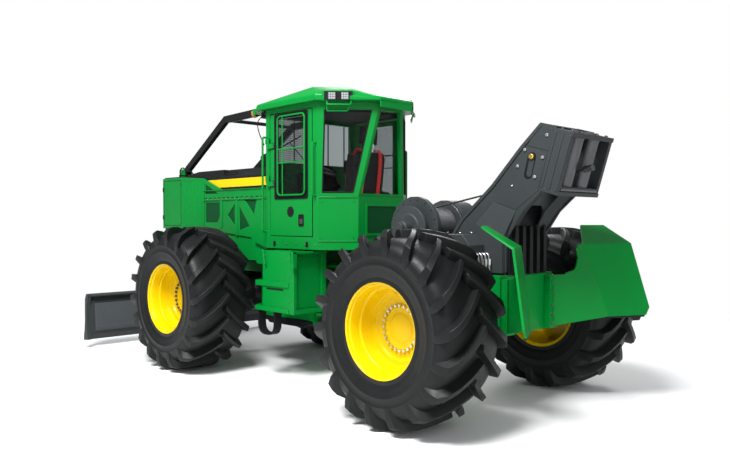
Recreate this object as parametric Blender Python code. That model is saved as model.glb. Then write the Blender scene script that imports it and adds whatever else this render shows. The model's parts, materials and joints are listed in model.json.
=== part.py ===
"""Articulated cable skidder, as separate solids with their joints' axes.

Run with: blender --background --python part.py

Metres. +Z is up, +Y points to the rear of the machine, +X to its left, and the ground is z = 0.
Every y below is measured from the steering pivot; the "vehicle" empty then places the machine
so that the middle of its length is y = 0.
"""
import math

import bmesh
import bpy
from mathutils import Matrix, Vector

# Overall layout
FRONT_REACH = 4.14          # steering pivot to the blade's cutting edge
AXLE_REACH = 1.835          # steering pivot to either axle
TRACK = 2.475               # tyre centre to tyre centre
FACE_GAP = 0.0003           # gap between solids that touch
RUN_GAP = 0.005             # gap between solids that move past each other
PIN_GAP = 0.0009            # radial play of a pin in its eye

# Wheels
TYRE_R = 0.880              # axle to the ground
TYRE_W = 0.775
RIM_W = 0.700
RIM_LIP_R = 0.437
BEAD_R = 0.405
LIP_T = 0.015
RIM_WALL = 0.018
DISC_T = 0.030
DISC_OUT = 0.0625           # wheel centre plane to the disc's outer face
HUB_CAP_R = 0.165
HUB_CAP_H = 0.030
WHEEL_SIDES = 24

# Axles
AXLE_R = 0.130
AXLE_END_R = 0.170
AXLE_END_T = 0.070
DIFF_R = 0.240
DIFF_HALF = 0.190
TRUNNION_R = 0.070
TRUNNION_HALF = 0.420
AXLE_SIDES = 20

# Steering hitch
PIN_R = 0.050
TONGUE_T = 0.060
TONGUE_END_R = 0.160
FORK_END_R = 0.130
FORK_T = 0.038
TONGUE_UPPER_Z = 1.200      # underside of the upper tongue
TONGUE_LOWER_Z = 0.620

# Steering cylinders
STEER_ARM = 0.300           # pivot to the rod eye, across the machine
STEER_BARREL_Y = 0.950      # pivot to the barrel's pin
STEER_Z = 0.950

# Frames
REAR_HALF = 0.440
FRONT_HALF = 0.380
RAIL_T = 0.060
DECK_Z = 1.320
DECK_T = 0.040
REAR_WALL_Y = 1.040
REAR_END_Y = 2.280
FRONT_WALL_Y = -0.450
NOSE_Y = -3.450
FRONT_DECK_Z = 1.300
FRAME_LOW_Z = 0.620

# Cylinders in general
BARREL_R = 0.055
ROD_R = 0.028
BORE_GAP = 0.0008
EYE_R = 0.052
EYE_PIN_R = 0.030
CYLINDER_SIDES = 16

# Blade
BLADE_HALF = 1.600
BLADE_LOW_Z = 0.110
BLADE_TOP_Z = 0.775
BLADE_T = 0.035
BLADE_DEPTH = 0.155         # cutting edge to the back of the blade's ends
BLADE_BACK_Y = BLADE_DEPTH - FRONT_REACH
ARM_PIVOT_Y = -2.550
ARM_PIVOT_Z = 0.700
ARM_IN = 0.520
ARM_OUT = 0.620
LIFT_X = 0.450
LIFT_PIN_Y = -2.750
LIFT_PIN_Z = 1.500
LIFT_EYE_Y = -3.150
LIFT_EYE_Z = 0.620

# Engine enclosure
HOOD_HALF = 0.680
SIDE_T = 0.035
HOOD_FRONT_Y = -3.500
HOOD_REAR_Y = -0.965
SIDE_LOW_Z = 1.720
BELT_LOW_Z = 2.120
BELT_TOP_Z = 2.236
SIDE_TOP_Z = 2.440
HOOD_TOP_Z = 2.500

# Cab
CAB_HALF = 0.720
CAB_FRONT_Y = -0.930
CAB_CORNER_Y = 0.020
CAB_LOW_Z = 1.500
DOOR_LOW_Z = 1.645
SILL_Z = 2.104
CAB_TOP_Z = 3.154
SILL_BACK_HALF = 0.370
SILL_BACK_Y = 0.315
TOP_BACK_HALF = 0.185
TOP_BACK_Y = 0.470
WALL_T = 0.050
DOOR_FRONT_Y = -0.855
DOOR_BACK_Y = -0.060
DOOR_TOP_Z = 3.100
DOOR_T = 0.045
HINGE_X = 0.740             # a door's hinge axis, just outside the cab's side
HINGE_Y = -0.862
HINGE_R = 0.016
HINGE_H = 0.060
HINGE_ZS = (2.300, 2.750)   # where a door's knuckle meets the frame's
GLASS_T = 0.008
CONSOLE_CLEAR = 0.110       # cab wall to the control console
SEAT_HALF = 0.260
SEAT_CLEAR = 0.060          # seat to console
SCREEN_LAP = 0.015          # cab wall to the edge of the windscreen
ROOF_HALF = 0.790
ROOF_FRONT_Y = -1.320
ROOF_PEAK_Z = 3.345

# Step box and tank beside the cab
BOX_IN = 0.480
BOX_OUT = 0.950
BOX_FRONT_Y = -0.690
BOX_BACK_Y = -0.110
BOX_LOW_Z = 0.785
BOX_TOP_Z = 1.485

# Winch, arch and fairlead
WINCH_Y = 1.130
WINCH_Z = 1.754
WINCH_R = 0.330
WINCH_OUT = 0.350
DRUM_IN = -0.130
DRUM_OUT = 0.292
DRUM_R = 0.195
DRUM_FLANGE_R = 0.285
CABLE_R = 0.010
ARCH_HALF = 0.330
ARCH_T = 0.030
FAIR_LOW = Vector((0.0, 2.630, 2.104))     # front lower corner of the fairlead frame
FAIR_TOP = Vector((0.0, 2.790, 2.644))     # front upper corner
FAIR_DEPTH = 0.190
FAIR_WIDER = 0.030          # how far the fairlead's ends stand outside the arch
FAIR_HALF = ARCH_HALF + FAIR_WIDER
ROLLER_R = 0.075
ROLLER_X = 0.135
GUARD_T = 0.020
GUARD_ROOT_X = 0.350
GUARD_FOLD_Z = 1.600
GUARD_WEB_TURN = math.radians(55)
GUARD_PANEL_TURN = math.radians(28)


# ---------------------------------------------------------------- shapes

def finish(bm):
    """Turns a bmesh into a mesh whose faces point outwards."""
    bmesh.ops.recalc_face_normals(bm, faces=bm.faces)
    mesh = bpy.data.meshes.new("shape")
    bm.to_mesh(mesh)
    bm.free()
    return mesh


def lift(axis, a, b, along):
    """Places a point of an outline: (Y, Z) across X, (X, Z) across Y, (X, Y) across Z."""
    if axis == "X":
        return (along, a, b)
    if axis == "Y":
        return (a, along, b)
    return (a, b, along)


def prism(outline, axis, low, high):
    """A closed outline carried straight along one axis."""
    bm = bmesh.new()
    ends = []
    for along in (low, high):
        ends.append([bm.verts.new(lift(axis, a, b, along)) for a, b in outline])
    bm.faces.new(ends[0])
    bm.faces.new(ends[1])
    count = len(outline)
    for i in range(count):
        j = (i + 1) % count
        bm.faces.new((ends[0][i], ends[0][j], ends[1][j], ends[1][i]))
    return finish(bm)


def block(x0, x1, y0, y1, z0, z1):
    """A plain box."""
    return prism([(x0, y0), (x1, y0), (x1, y1), (x0, y1)], "Z", z0, z1)


def loft(low, high):
    """Two outlines of as many corners each, joined by flat sides."""
    bm = bmesh.new()
    bottom = [bm.verts.new(p) for p in low]
    top = [bm.verts.new(p) for p in high]
    bm.faces.new(bottom)
    bm.faces.new(top)
    for i in range(len(low)):
        j = (i + 1) % len(low)
        bm.faces.new((bottom[i], bottom[j], top[j], top[i]))
    bmesh.ops.triangulate(bm, faces=[f for f in bm.faces if len(f.verts) == 4])
    return finish(bm)


def turned(profile, axis, centre, sides):
    """A profile of (along, radius) pairs turned round an axis through centre.

    The first corner faces half a step off the vertical, so that a flat side is at the bottom.
    Radius 0 at both ends closes the shape; otherwise the profile is a closed loop.
    """
    bm = bmesh.new()
    rings = []
    for along, radius in profile:
        if radius == 0:
            points = [Vector((0, 0))]
        else:
            steps = [(k + 0.5) * 2 * math.pi / sides for k in range(sides)]
            points = [Vector((radius * math.sin(t), -radius * math.cos(t))) for t in steps]
        ring = []
        for p in points:
            spot = Vector(lift(axis, p.x, p.y, along))
            ring.append(bm.verts.new(spot + Vector(centre)))
        rings.append(ring)
    open_ends = profile[0][1] == 0
    pairs = len(rings) - 1 if open_ends else len(rings)
    for i in range(pairs):
        a = rings[i]
        b = rings[(i + 1) % len(rings)]
        for k in range(sides):
            m = (k + 1) % sides
            if len(a) == 1:
                bm.faces.new((a[0], b[k], b[m]))
            elif len(b) == 1:
                bm.faces.new((a[k], a[m], b[0]))
            else:
                bm.faces.new((a[k], a[m], b[m], b[k]))
    return finish(bm)


def rod(axis, centre, radius, low, high, sides=CYLINDER_SIDES):
    """A plain round bar between two stations along an axis through centre."""
    return turned([(low, 0), (low, radius), (high, radius), (high, 0)], axis, centre, sides)


def swept(points, half_a, half_b, side):
    """A rectangular bar along a bent route; side is the direction of its half_a width."""
    bm = bmesh.new()
    rings = []
    route = [Vector(p) for p in points]
    side = Vector(side).normalized()
    for i, p in enumerate(route):
        back = (p - route[i - 1]).normalized() if i > 0 else None
        ahead = (route[i + 1] - p).normalized() if i < len(route) - 1 else None
        if back is None:
            along, stretch = ahead, 1.0
        elif ahead is None:
            along, stretch = back, 1.0
        else:
            along = (back + ahead).normalized()
            stretch = 1.0 / max(0.3, along.dot(back))
        up = along.cross(side).normalized()
        corners = ((1, 1), (-1, 1), (-1, -1), (1, -1))
        ring = [bm.verts.new(p + side * half_a * s + up * half_b * stretch * t)
                for s, t in corners]
        rings.append(ring)
    bm.faces.new(rings[0])
    bm.faces.new(rings[-1])
    for a, b in zip(rings, rings[1:]):
        for k in range(4):
            m = (k + 1) % 4
            bm.faces.new((a[k], a[m], b[m], b[k]))
    return finish(bm)


def mirrored(mesh):
    """The same shape on the other side of the machine."""
    copy = mesh.copy()
    copy.transform(Matrix.Scale(-1, 4, (1, 0, 0)))
    copy.flip_normals()
    return copy


def both(mesh):
    """A shape and its mirror image."""
    return [mesh, mirrored(mesh)]


def turned_about(mesh, centre, angle, axis):
    """A shape turned by an angle about an axis through centre."""
    spot = Vector(centre)
    turn = Matrix.Rotation(angle, 4, axis)
    mesh.transform(Matrix.Translation(spot) @ turn @ Matrix.Translation(-spot))
    return mesh


def fuse(shapes, cuts=()):
    """Joins shapes into one body, then takes the cuts away."""
    link = bpy.context.scene.collection.objects.link
    base = bpy.data.objects.new("base", shapes[0])
    link(base)
    helpers = [base]
    for operation, group in (("UNION", shapes[1:]), ("DIFFERENCE", cuts)):
        for mesh in group:
            helper = bpy.data.objects.new("helper", mesh)
            link(helper)
            helpers.append(helper)
            step = base.modifiers.new(operation, "BOOLEAN")
            step.operation = operation
            step.object = helper
    graph = bpy.context.evaluated_depsgraph_get()
    result = bpy.data.meshes.new_from_object(base.evaluated_get(graph))
    for helper in helpers:
        bpy.data.objects.remove(helper)
    return result


# ---------------------------------------------------------------- scene and materials

def paint(name, colour, roughness, metallic=0.0):
    material = bpy.data.materials.new(name)
    material.use_nodes = True
    shader = material.node_tree.nodes["Principled BSDF"]
    shader.inputs["Base Color"].default_value = (*colour, 1.0)
    shader.inputs["Roughness"].default_value = roughness
    shader.inputs["Metallic"].default_value = metallic
    return material


PAINTS = {
    "green": ((0.012, 0.27, 0.045), 0.42, 0.0),
    "yellow": ((0.95, 0.74, 0.01), 0.35, 0.0),
    "charcoal": ((0.045, 0.052, 0.055), 0.55, 0.0),
    "black": ((0.015, 0.016, 0.018), 0.5, 0.0),
    "rubber": ((0.022, 0.024, 0.026), 0.75, 0.0),
    "steel": ((0.45, 0.46, 0.48), 0.35, 1.0),
    "chrome": ((0.75, 0.75, 0.77), 0.12, 1.0),
    "glass": ((0.35, 0.42, 0.42), 0.05, 0.0),
    "fabric": ((0.02, 0.02, 0.022), 0.9, 0.0),
}
JOINTS = {}
NODES = []


def joint(name, spot, parent="vehicle"):
    """An empty on a joint's axis; everything that moves with the joint hangs from it."""
    empty = bpy.data.objects.new(name, None)
    bpy.context.scene.collection.objects.link(empty)
    if parent in JOINTS:
        holder, origin = JOINTS[parent]
        empty.parent = holder
        empty.location = Vector(spot) - origin
    JOINTS[name] = (empty, Vector(spot))


def node(name, mesh, finish_name, holder="vehicle"):
    """One named solid, hung from a joint's empty with its origin on the joint."""
    empty, origin = JOINTS[holder]
    mesh.transform(Matrix.Translation(-origin))
    mesh.name = name
    mesh.materials.clear()
    colour, roughness, metallic = PAINTS[finish_name]
    mesh.materials.append(paint(name + "_finish", colour, roughness, metallic))
    mesh.shade_smooth()
    mesh.set_sharp_from_angle(angle=math.radians(35))
    thing = bpy.data.objects.new(name, mesh)
    bpy.context.scene.collection.objects.link(thing)
    thing.parent = empty
    NODES.append(name)


# ---------------------------------------------------------------- wheels and axles

def tyre_mesh(centre):
    """A closed ring whose tread is flat, with a flat side of its outline on the ground."""
    corner = TYRE_R / math.cos(math.pi / WHEEL_SIDES)
    bead = RIM_W / 2 - LIP_T - FACE_GAP * 2
    wide = TYRE_W / 2
    half = [(bead, BEAD_R + 0.0005), (bead, RIM_LIP_R + 0.002), (wide - 0.016, 0.500),
            (wide, 0.680), (wide - 0.022, 0.815), (wide - 0.090, corner)]
    loop = half + [(-a, r) for a, r in reversed(half)]
    return turned(loop, "X", centre, WHEEL_SIDES)


def rim_mesh(centre, side):
    """Barrel, lips, offset disc and raised hub cover as one turned shape."""
    half = RIM_W / 2
    inner = BEAD_R - RIM_WALL
    back = DISC_OUT - DISC_T
    profile = [(DISC_OUT + HUB_CAP_H, 0), (DISC_OUT + HUB_CAP_H, HUB_CAP_R - 0.012),
               (DISC_OUT, HUB_CAP_R), (DISC_OUT, inner - 0.035), (DISC_OUT + 0.035, inner),
               (half - 0.025, inner), (half, RIM_LIP_R - 0.020), (half, RIM_LIP_R),
               (half - LIP_T, RIM_LIP_R), (half - LIP_T, BEAD_R), (LIP_T - half, BEAD_R),
               (LIP_T - half, RIM_LIP_R), (-half, RIM_LIP_R), (-half, RIM_LIP_R - 0.020),
               (0.025 - half, inner), (back, inner), (back, 0)]
    return turned([(a * side, r) for a, r in profile], "X", centre, WHEEL_SIDES)


def axle_profile():
    """Half of an axle housing: end flange, tube and the bulge round the differential."""
    end = TRACK / 2 + DISC_OUT - DISC_T - 0.0005
    return [(end, 0), (end, AXLE_END_R), (end - AXLE_END_T, AXLE_END_R),
            (end - AXLE_END_T, AXLE_R), (DIFF_HALF + 0.13, AXLE_R), (DIFF_HALF, DIFF_R)]


def axle_mesh(y):
    half = axle_profile()
    whole = half + [(-a, r) for a, r in reversed(half)]
    return turned(whole, "X", (0, y, TYRE_R), AXLE_SIDES)


def wheel(place, side, y, holder):
    """A tyre on its rim, turning about the axle."""
    centre = (side * TRACK / 2, y, TYRE_R)
    name = place + ("_left" if side > 0 else "_right")
    joint("spin_" + name, centre, holder)
    node("rim_" + name, rim_mesh(centre, side), "yellow", "spin_" + name)
    node("tyre_" + name, tyre_mesh(centre), "rubber", "spin_" + name)


# ---------------------------------------------------------------- rear frame

def plate_to_pivot(half, back_y, end_r, low_z, thick):
    """A level plate that narrows to a round end on the steering axis."""
    steps = 10
    outline = [(-half, back_y)]
    sign = 1 if back_y > 0 else -1
    for k in range(steps + 1):
        turn = -math.pi / 2 + math.pi * k / steps
        outline.append((end_r * math.sin(turn), -sign * end_r * math.cos(turn)))
    outline.append((half, back_y))
    return prism(outline, "Z", low_z, low_z + thick)


def rear_frame():
    outer = REAR_HALF
    low = FRAME_LOW_Z
    saddle_low = 0.760
    slope_y = REAR_WALL_Y + 0.42
    rails = both(prism([(REAR_WALL_Y, low), (slope_y, low), (slope_y + 0.12, saddle_low),
                        (REAR_END_Y, saddle_low), (REAR_END_Y, DECK_Z), (REAR_WALL_Y, DECK_Z)],
                       "X", outer - RAIL_T, outer))
    inside = outer - RAIL_T / 2
    cross = [block(-inside, inside, REAR_WALL_Y, REAR_WALL_Y + 0.05, low, DECK_Z - 0.01),
             block(-inside, inside, REAR_END_Y - 0.04, REAR_END_Y - 0.001, saddle_low, DECK_Z - 0.01),
             block(-inside, inside, REAR_WALL_Y + 0.01, REAR_END_Y - 0.01, DECK_Z - DECK_T, DECK_Z),
             block(-inside, inside, REAR_WALL_Y + 0.01, slope_y, low + 0.002, low + 0.04)]
    hitch = []
    for z in (TONGUE_LOWER_Z, TONGUE_UPPER_Z):
        hitch.append(plate_to_pivot(outer - 0.02, REAR_WALL_Y + 0.03, TONGUE_END_R, z, TONGUE_T))
    hitch.append(block(-0.08, 0.08, 0.42, REAR_WALL_Y + 0.02, low + 0.01, TONGUE_UPPER_Z + 0.05))
    ears = []
    ear_z = (STEER_Z - EYE_R - RUN_GAP - 0.035, STEER_Z + EYE_R + RUN_GAP)
    for z in ear_z:
        ears += both(block(STEER_ARM - 0.07, STEER_ARM + 0.07, STEER_BARREL_Y - 0.06,
                           REAR_WALL_Y + 0.02, z, z + 0.035))
    pins = [rod("Z", (side * STEER_ARM, STEER_BARREL_Y, 0), EYE_PIN_R, ear_z[0] + 0.005,
                ear_z[1] + 0.030) for side in (1, -1)]
    saddle = [rod("X", (0, AXLE_REACH, TYRE_R), AXLE_R + FACE_GAP, -0.6, 0.6, AXLE_SIDES),
              block(-0.6, 0.6, AXLE_REACH - AXLE_R - FACE_GAP, AXLE_REACH + AXLE_R + FACE_GAP,
                    saddle_low - 0.05, TYRE_R)]
    holes = [rod("Z", (0, 0, 0), PIN_R + PIN_GAP, TONGUE_LOWER_Z - 0.05,
                 TONGUE_UPPER_Z + TONGUE_T + 0.05, AXLE_SIDES)]
    node("rear_frame", fuse(rails + cross + hitch + ears + pins, saddle + holes), "green")
    node("rear_axle", axle_mesh(AXLE_REACH), "black")


def winch():
    base = DECK_Z + FACE_GAP
    centre = (0, WINCH_Y, WINCH_Z)
    plate_in = DRUM_OUT + RUN_GAP
    gear_out = -WINCH_OUT - 0.06
    gear_in = DRUM_IN - RUN_GAP
    left = [rod("X", centre, WINCH_R, plate_in, WINCH_OUT, 20),
            block(plate_in, WINCH_OUT, WINCH_Y - 0.26, WINCH_Y + 0.26, base, WINCH_Z)]
    right = [rod("X", centre, WINCH_R - 0.03, gear_out, gear_in, 20),
             block(gear_out + 0.02, gear_in, WINCH_Y - 0.25, WINCH_Y + 0.25, base, WINCH_Z)]
    foot = [block(gear_out + 0.03, WINCH_OUT - 0.005, WINCH_Y - 0.22, WINCH_Y + 0.22, base, base + 0.06)]
    bore = rod("X", centre, PIN_R + PIN_GAP, gear_in - 0.03, WINCH_OUT - 0.01, AXLE_SIDES)
    node("winch_housing", fuse(left + right + foot, [bore]), "charcoal")
    ends = PIN_R
    profile = [(gear_in - 0.025, 0), (gear_in - 0.025, ends), (DRUM_IN, ends),
               (DRUM_IN, DRUM_FLANGE_R), (DRUM_IN + 0.022, DRUM_FLANGE_R),
               (DRUM_IN + 0.022, DRUM_R), (DRUM_OUT - 0.022, DRUM_R),
               (DRUM_OUT - 0.022, DRUM_FLANGE_R), (DRUM_OUT, DRUM_FLANGE_R),
               (DRUM_OUT, ends), (WINCH_OUT - 0.012, ends), (WINCH_OUT - 0.012, 0)]
    joint("spin_winch_drum", centre)
    node("winch_drum", turned(profile, "X", centre, AXLE_SIDES), "steel", "spin_winch_drum")


def cable_ends():
    """The straight run from the top of the drum to just behind the fairlead rollers."""
    middle = (FAIR_LOW + FAIR_TOP) / 2
    goal = Vector((0, middle.y + 0.15, middle.z - 0.06))
    start_r = DRUM_R + CABLE_R - FACE_GAP
    hub = Vector((0, WINCH_Y, WINCH_Z))
    span = (goal - hub).length
    rise = math.atan2(goal.z - hub.z, goal.y - hub.y)
    turn = rise + math.acos(start_r / span)
    tangent = hub + Vector((0, math.cos(turn), math.sin(turn))) * start_r
    direction = (goal - tangent).normalized()
    return tangent, goal, direction


def winch_cable():
    start, goal, direction = cable_ends()
    length = (goal - start).length
    socket = [(length - 0.01, 0.012), (length + 0.01, 0.030), (length + 0.11, 0.030)]
    profile = [(0, 0), (0, CABLE_R), (length - 0.01, CABLE_R)] + socket + [(length + 0.11, 0)]
    mesh = turned(profile, "Y", (0, 0, 0), 10)
    angle = math.atan2(direction.z, direction.y)
    mesh.transform(Matrix.Rotation(angle, 4, "X"))
    mesh.transform(Matrix.Translation(start))
    node("winch_cable", mesh, "steel")


def fair_face(z):
    """How far back the fairlead frame's leaning front face is at a height."""
    return FAIR_LOW.y + (z - FAIR_LOW.z) * (FAIR_TOP.y - FAIR_LOW.y) / (FAIR_TOP.z - FAIR_LOW.z)


def arch_outline():
    """Side plate from the deck to the fairlead, as (Y, Z)."""
    base = DECK_Z + FACE_GAP
    edge_top = 2.660
    edge_low = 2.075
    return [(1.520, base), (1.520, 1.560), (1.739, 1.856), (2.097, 2.167), (2.420, 2.511),
            (2.630, 2.708), (fair_face(edge_top) - FACE_GAP, edge_top),
            (fair_face(edge_low) - FACE_GAP, edge_low), (2.443, 1.918), (2.250, 1.640),
            (2.250, base)]


def arch():
    plates = both(prism(arch_outline(), "X", ARCH_HALF - ARCH_T, ARCH_HALF))
    inner = ARCH_HALF - ARCH_T / 2
    base = DECK_Z + FACE_GAP
    front = prism([(1.520, base + 0.001), (1.550, base + 0.001), (1.550, 1.548), (1.764, 1.836),
                   (1.850, 1.910), (1.830, 1.934), (1.740, 1.855), (1.521, 1.559)],
                  "X", -inner, inner)
    top = prism([(2.300, 2.383), (2.421, 2.510), (2.630, 2.706), (2.700, 2.682), (2.690, 2.655),
                 (2.640, 2.670), (2.440, 2.487), (2.321, 2.363)], "X", -inner, inner)
    floor = block(-inner, inner, 1.530, 2.240, base + 0.0005, base + 0.030)
    node("arch", fuse(plates + [front, top, floor]), "charcoal")


def fairlead():
    """A leaning frame behind the arch with two upright rollers and a level one under them."""
    lean = (FAIR_TOP - FAIR_LOW)
    height = lean.length
    angle = -math.atan2(lean.y, lean.z)
    thick = 0.030
    depth = FAIR_DEPTH
    y0 = FAIR_LOW.y
    z0 = FAIR_LOW.z

    def leaned(mesh):
        return turned_about(mesh, (0, y0, z0), angle, "X")

    def frame_block(x0, x1, a0, a1, h0, h1):
        return leaned(block(x0, x1, y0 + a0, y0 + a1, z0 + h0, z0 + h1))

    pin_r = 0.028
    axis_a = depth / 2
    shelves = [(0.0, thick), (height - thick, height)]
    shapes = []
    for h0, h1 in shelves:
        shapes.append(frame_block(-FAIR_HALF, FAIR_HALF, 0.0, depth, h0, h1))
    for side in (1, -1):
        x = side * (FAIR_HALF - 0.002)
        shapes.append(frame_block(min(x, x - side * 0.045), max(x, x - side * 0.045), 0.002,
                                  depth - 0.002, thick / 2, height - thick / 2))
    cuts = []
    for side in (1, -1):
        cuts.append(leaned(rod("Z", (side * ROLLER_X, y0 + axis_a, 0), pin_r + PIN_GAP,
                               z0 - 0.05, z0 + height + 0.05, 20)))
    node("fairlead_frame", fuse(shapes, cuts), "charcoal")
    along = lean.normalized()
    across = Vector((0, along.z, -along.y))
    for side, word in ((1, "left"), (-1, "right")):
        low = z0 + thick + RUN_GAP
        high = z0 + height - thick - RUN_GAP
        profile = [(z0 + 0.004, 0), (z0 + 0.004, pin_r), (low, pin_r), (low, ROLLER_R),
                   (high, ROLLER_R), (high, pin_r), (z0 + height - 0.004, pin_r),
                   (z0 + height - 0.004, 0)]
        mesh = leaned(turned(profile, "Z", (side * ROLLER_X, y0 + axis_a, 0), 20))
        spot = Vector((side * ROLLER_X, y0, z0)) + across * axis_a + along * (height / 2)
        joint("spin_roller_" + word, spot)
        node("fairlead_roller_" + word, mesh, "steel", "spin_roller_" + word)


def butt_plate():
    """A ribbed plate that closes the arch's rear opening above the deck."""
    half = ARCH_HALF - ARCH_T - FACE_GAP * 2
    back = 2.285
    ribs = 5
    step = 2 * half / ribs
    outline = [(-half, back)]
    for k in range(ribs):
        x = -half + k * step
        outline += [(x + step * 0.30, back), (x + step * 0.30, back + 0.045),
                    (x + step * 0.70, back + 0.045), (x + step * 0.70, back)]
    outline += [(half, back), (half, back - 0.020), (-half, back - 0.020)]
    node("butt_plate", prism(outline, "Z", DECK_Z + FACE_GAP, 1.780), "black")


def valve_box():
    base = DECK_Z + FACE_GAP
    outline = [(1.450, base), (2.050, base), (2.050, 1.600), (1.960, 1.700), (1.560, 1.700),
               (1.450, 1.600)]
    mesh = prism(outline, "X", ARCH_HALF + FACE_GAP * 2, 0.600)
    node("valve_box", mesh, "black")


def log_guard(side):
    """A folded plate: a web beside the tyre, a panel behind it and a flap leaning over it."""
    y0 = REAR_END_Y + 0.012
    web_way = Vector((math.cos(GUARD_WEB_TURN), math.sin(GUARD_WEB_TURN), 0))
    panel_way = Vector((math.cos(GUARD_PANEL_TURN), math.sin(GUARD_PANEL_TURN), 0))
    forward = Vector((panel_way.y, -panel_way.x, 0))
    foot = Vector((GUARD_ROOT_X, y0, 0))
    up = Vector((0, 0, 1))
    fold_top = foot + web_way * 0.330 + up * GUARD_FOLD_Z
    fold_low = foot + web_way * 0.578 + up * 0.890

    def on_web(s, z):
        return foot + web_way * s + up * z

    def on_panel(u, z):
        share = (z - fold_low.z) / (fold_top.z - fold_low.z)
        return fold_low.lerp(fold_top, share) + panel_way * u

    def on_flap(u, v):
        return fold_top + panel_way * u + (forward * 0.84 + up * 0.54).normalized() * v

    tip_top = fold_top + panel_way * 0.550
    web = [on_web(0, 0.775), on_web(0, 1.285), on_web(0.170, 1.300), on_web(0.260, 1.345),
           on_web(0.288, 1.450), on_web(0.282, 1.570), fold_top, fold_low]
    panel = [fold_top, fold_low, on_panel(0.430, 0.890), on_panel(0.500, 0.965), tip_top]
    flap = [fold_top, tip_top, on_flap(0.420, 0.330), on_flap(0.150, 0.330)]
    bm = bmesh.new()
    made = {}
    for outline in (web, panel, flap):
        ring = []
        for p in outline:
            key = tuple(p)
            if key not in made:
                made[key] = bm.verts.new(p)
            ring.append(made[key])
        bm.faces.new(ring)
    bmesh.ops.recalc_face_normals(bm, faces=bm.faces)
    thing = bpy.data.objects.new("sheet", bpy.data.meshes.new("sheet"))
    bm.to_mesh(thing.data)
    bm.free()
    bpy.context.scene.collection.objects.link(thing)
    step = thing.modifiers.new("plate", "SOLIDIFY")
    step.thickness = GUARD_T
    step.offset = 0
    step.use_even_offset = True
    graph = bpy.context.evaluated_depsgraph_get()
    plate = bpy.data.meshes.new_from_object(thing.evaluated_get(graph))
    bpy.data.objects.remove(thing)
    bolted = block(GUARD_ROOT_X - 0.050, GUARD_ROOT_X + 0.070, REAR_END_Y + FACE_GAP,
                   y0 + 0.055, 0.770, 1.290)
    mesh = fuse([bolted, plate])
    if side < 0:
        mesh = mirrored(mesh)
    node("log_guard_" + ("left" if side > 0 else "right"), mesh, "green")


# ---------------------------------------------------------------- front frame

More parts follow.
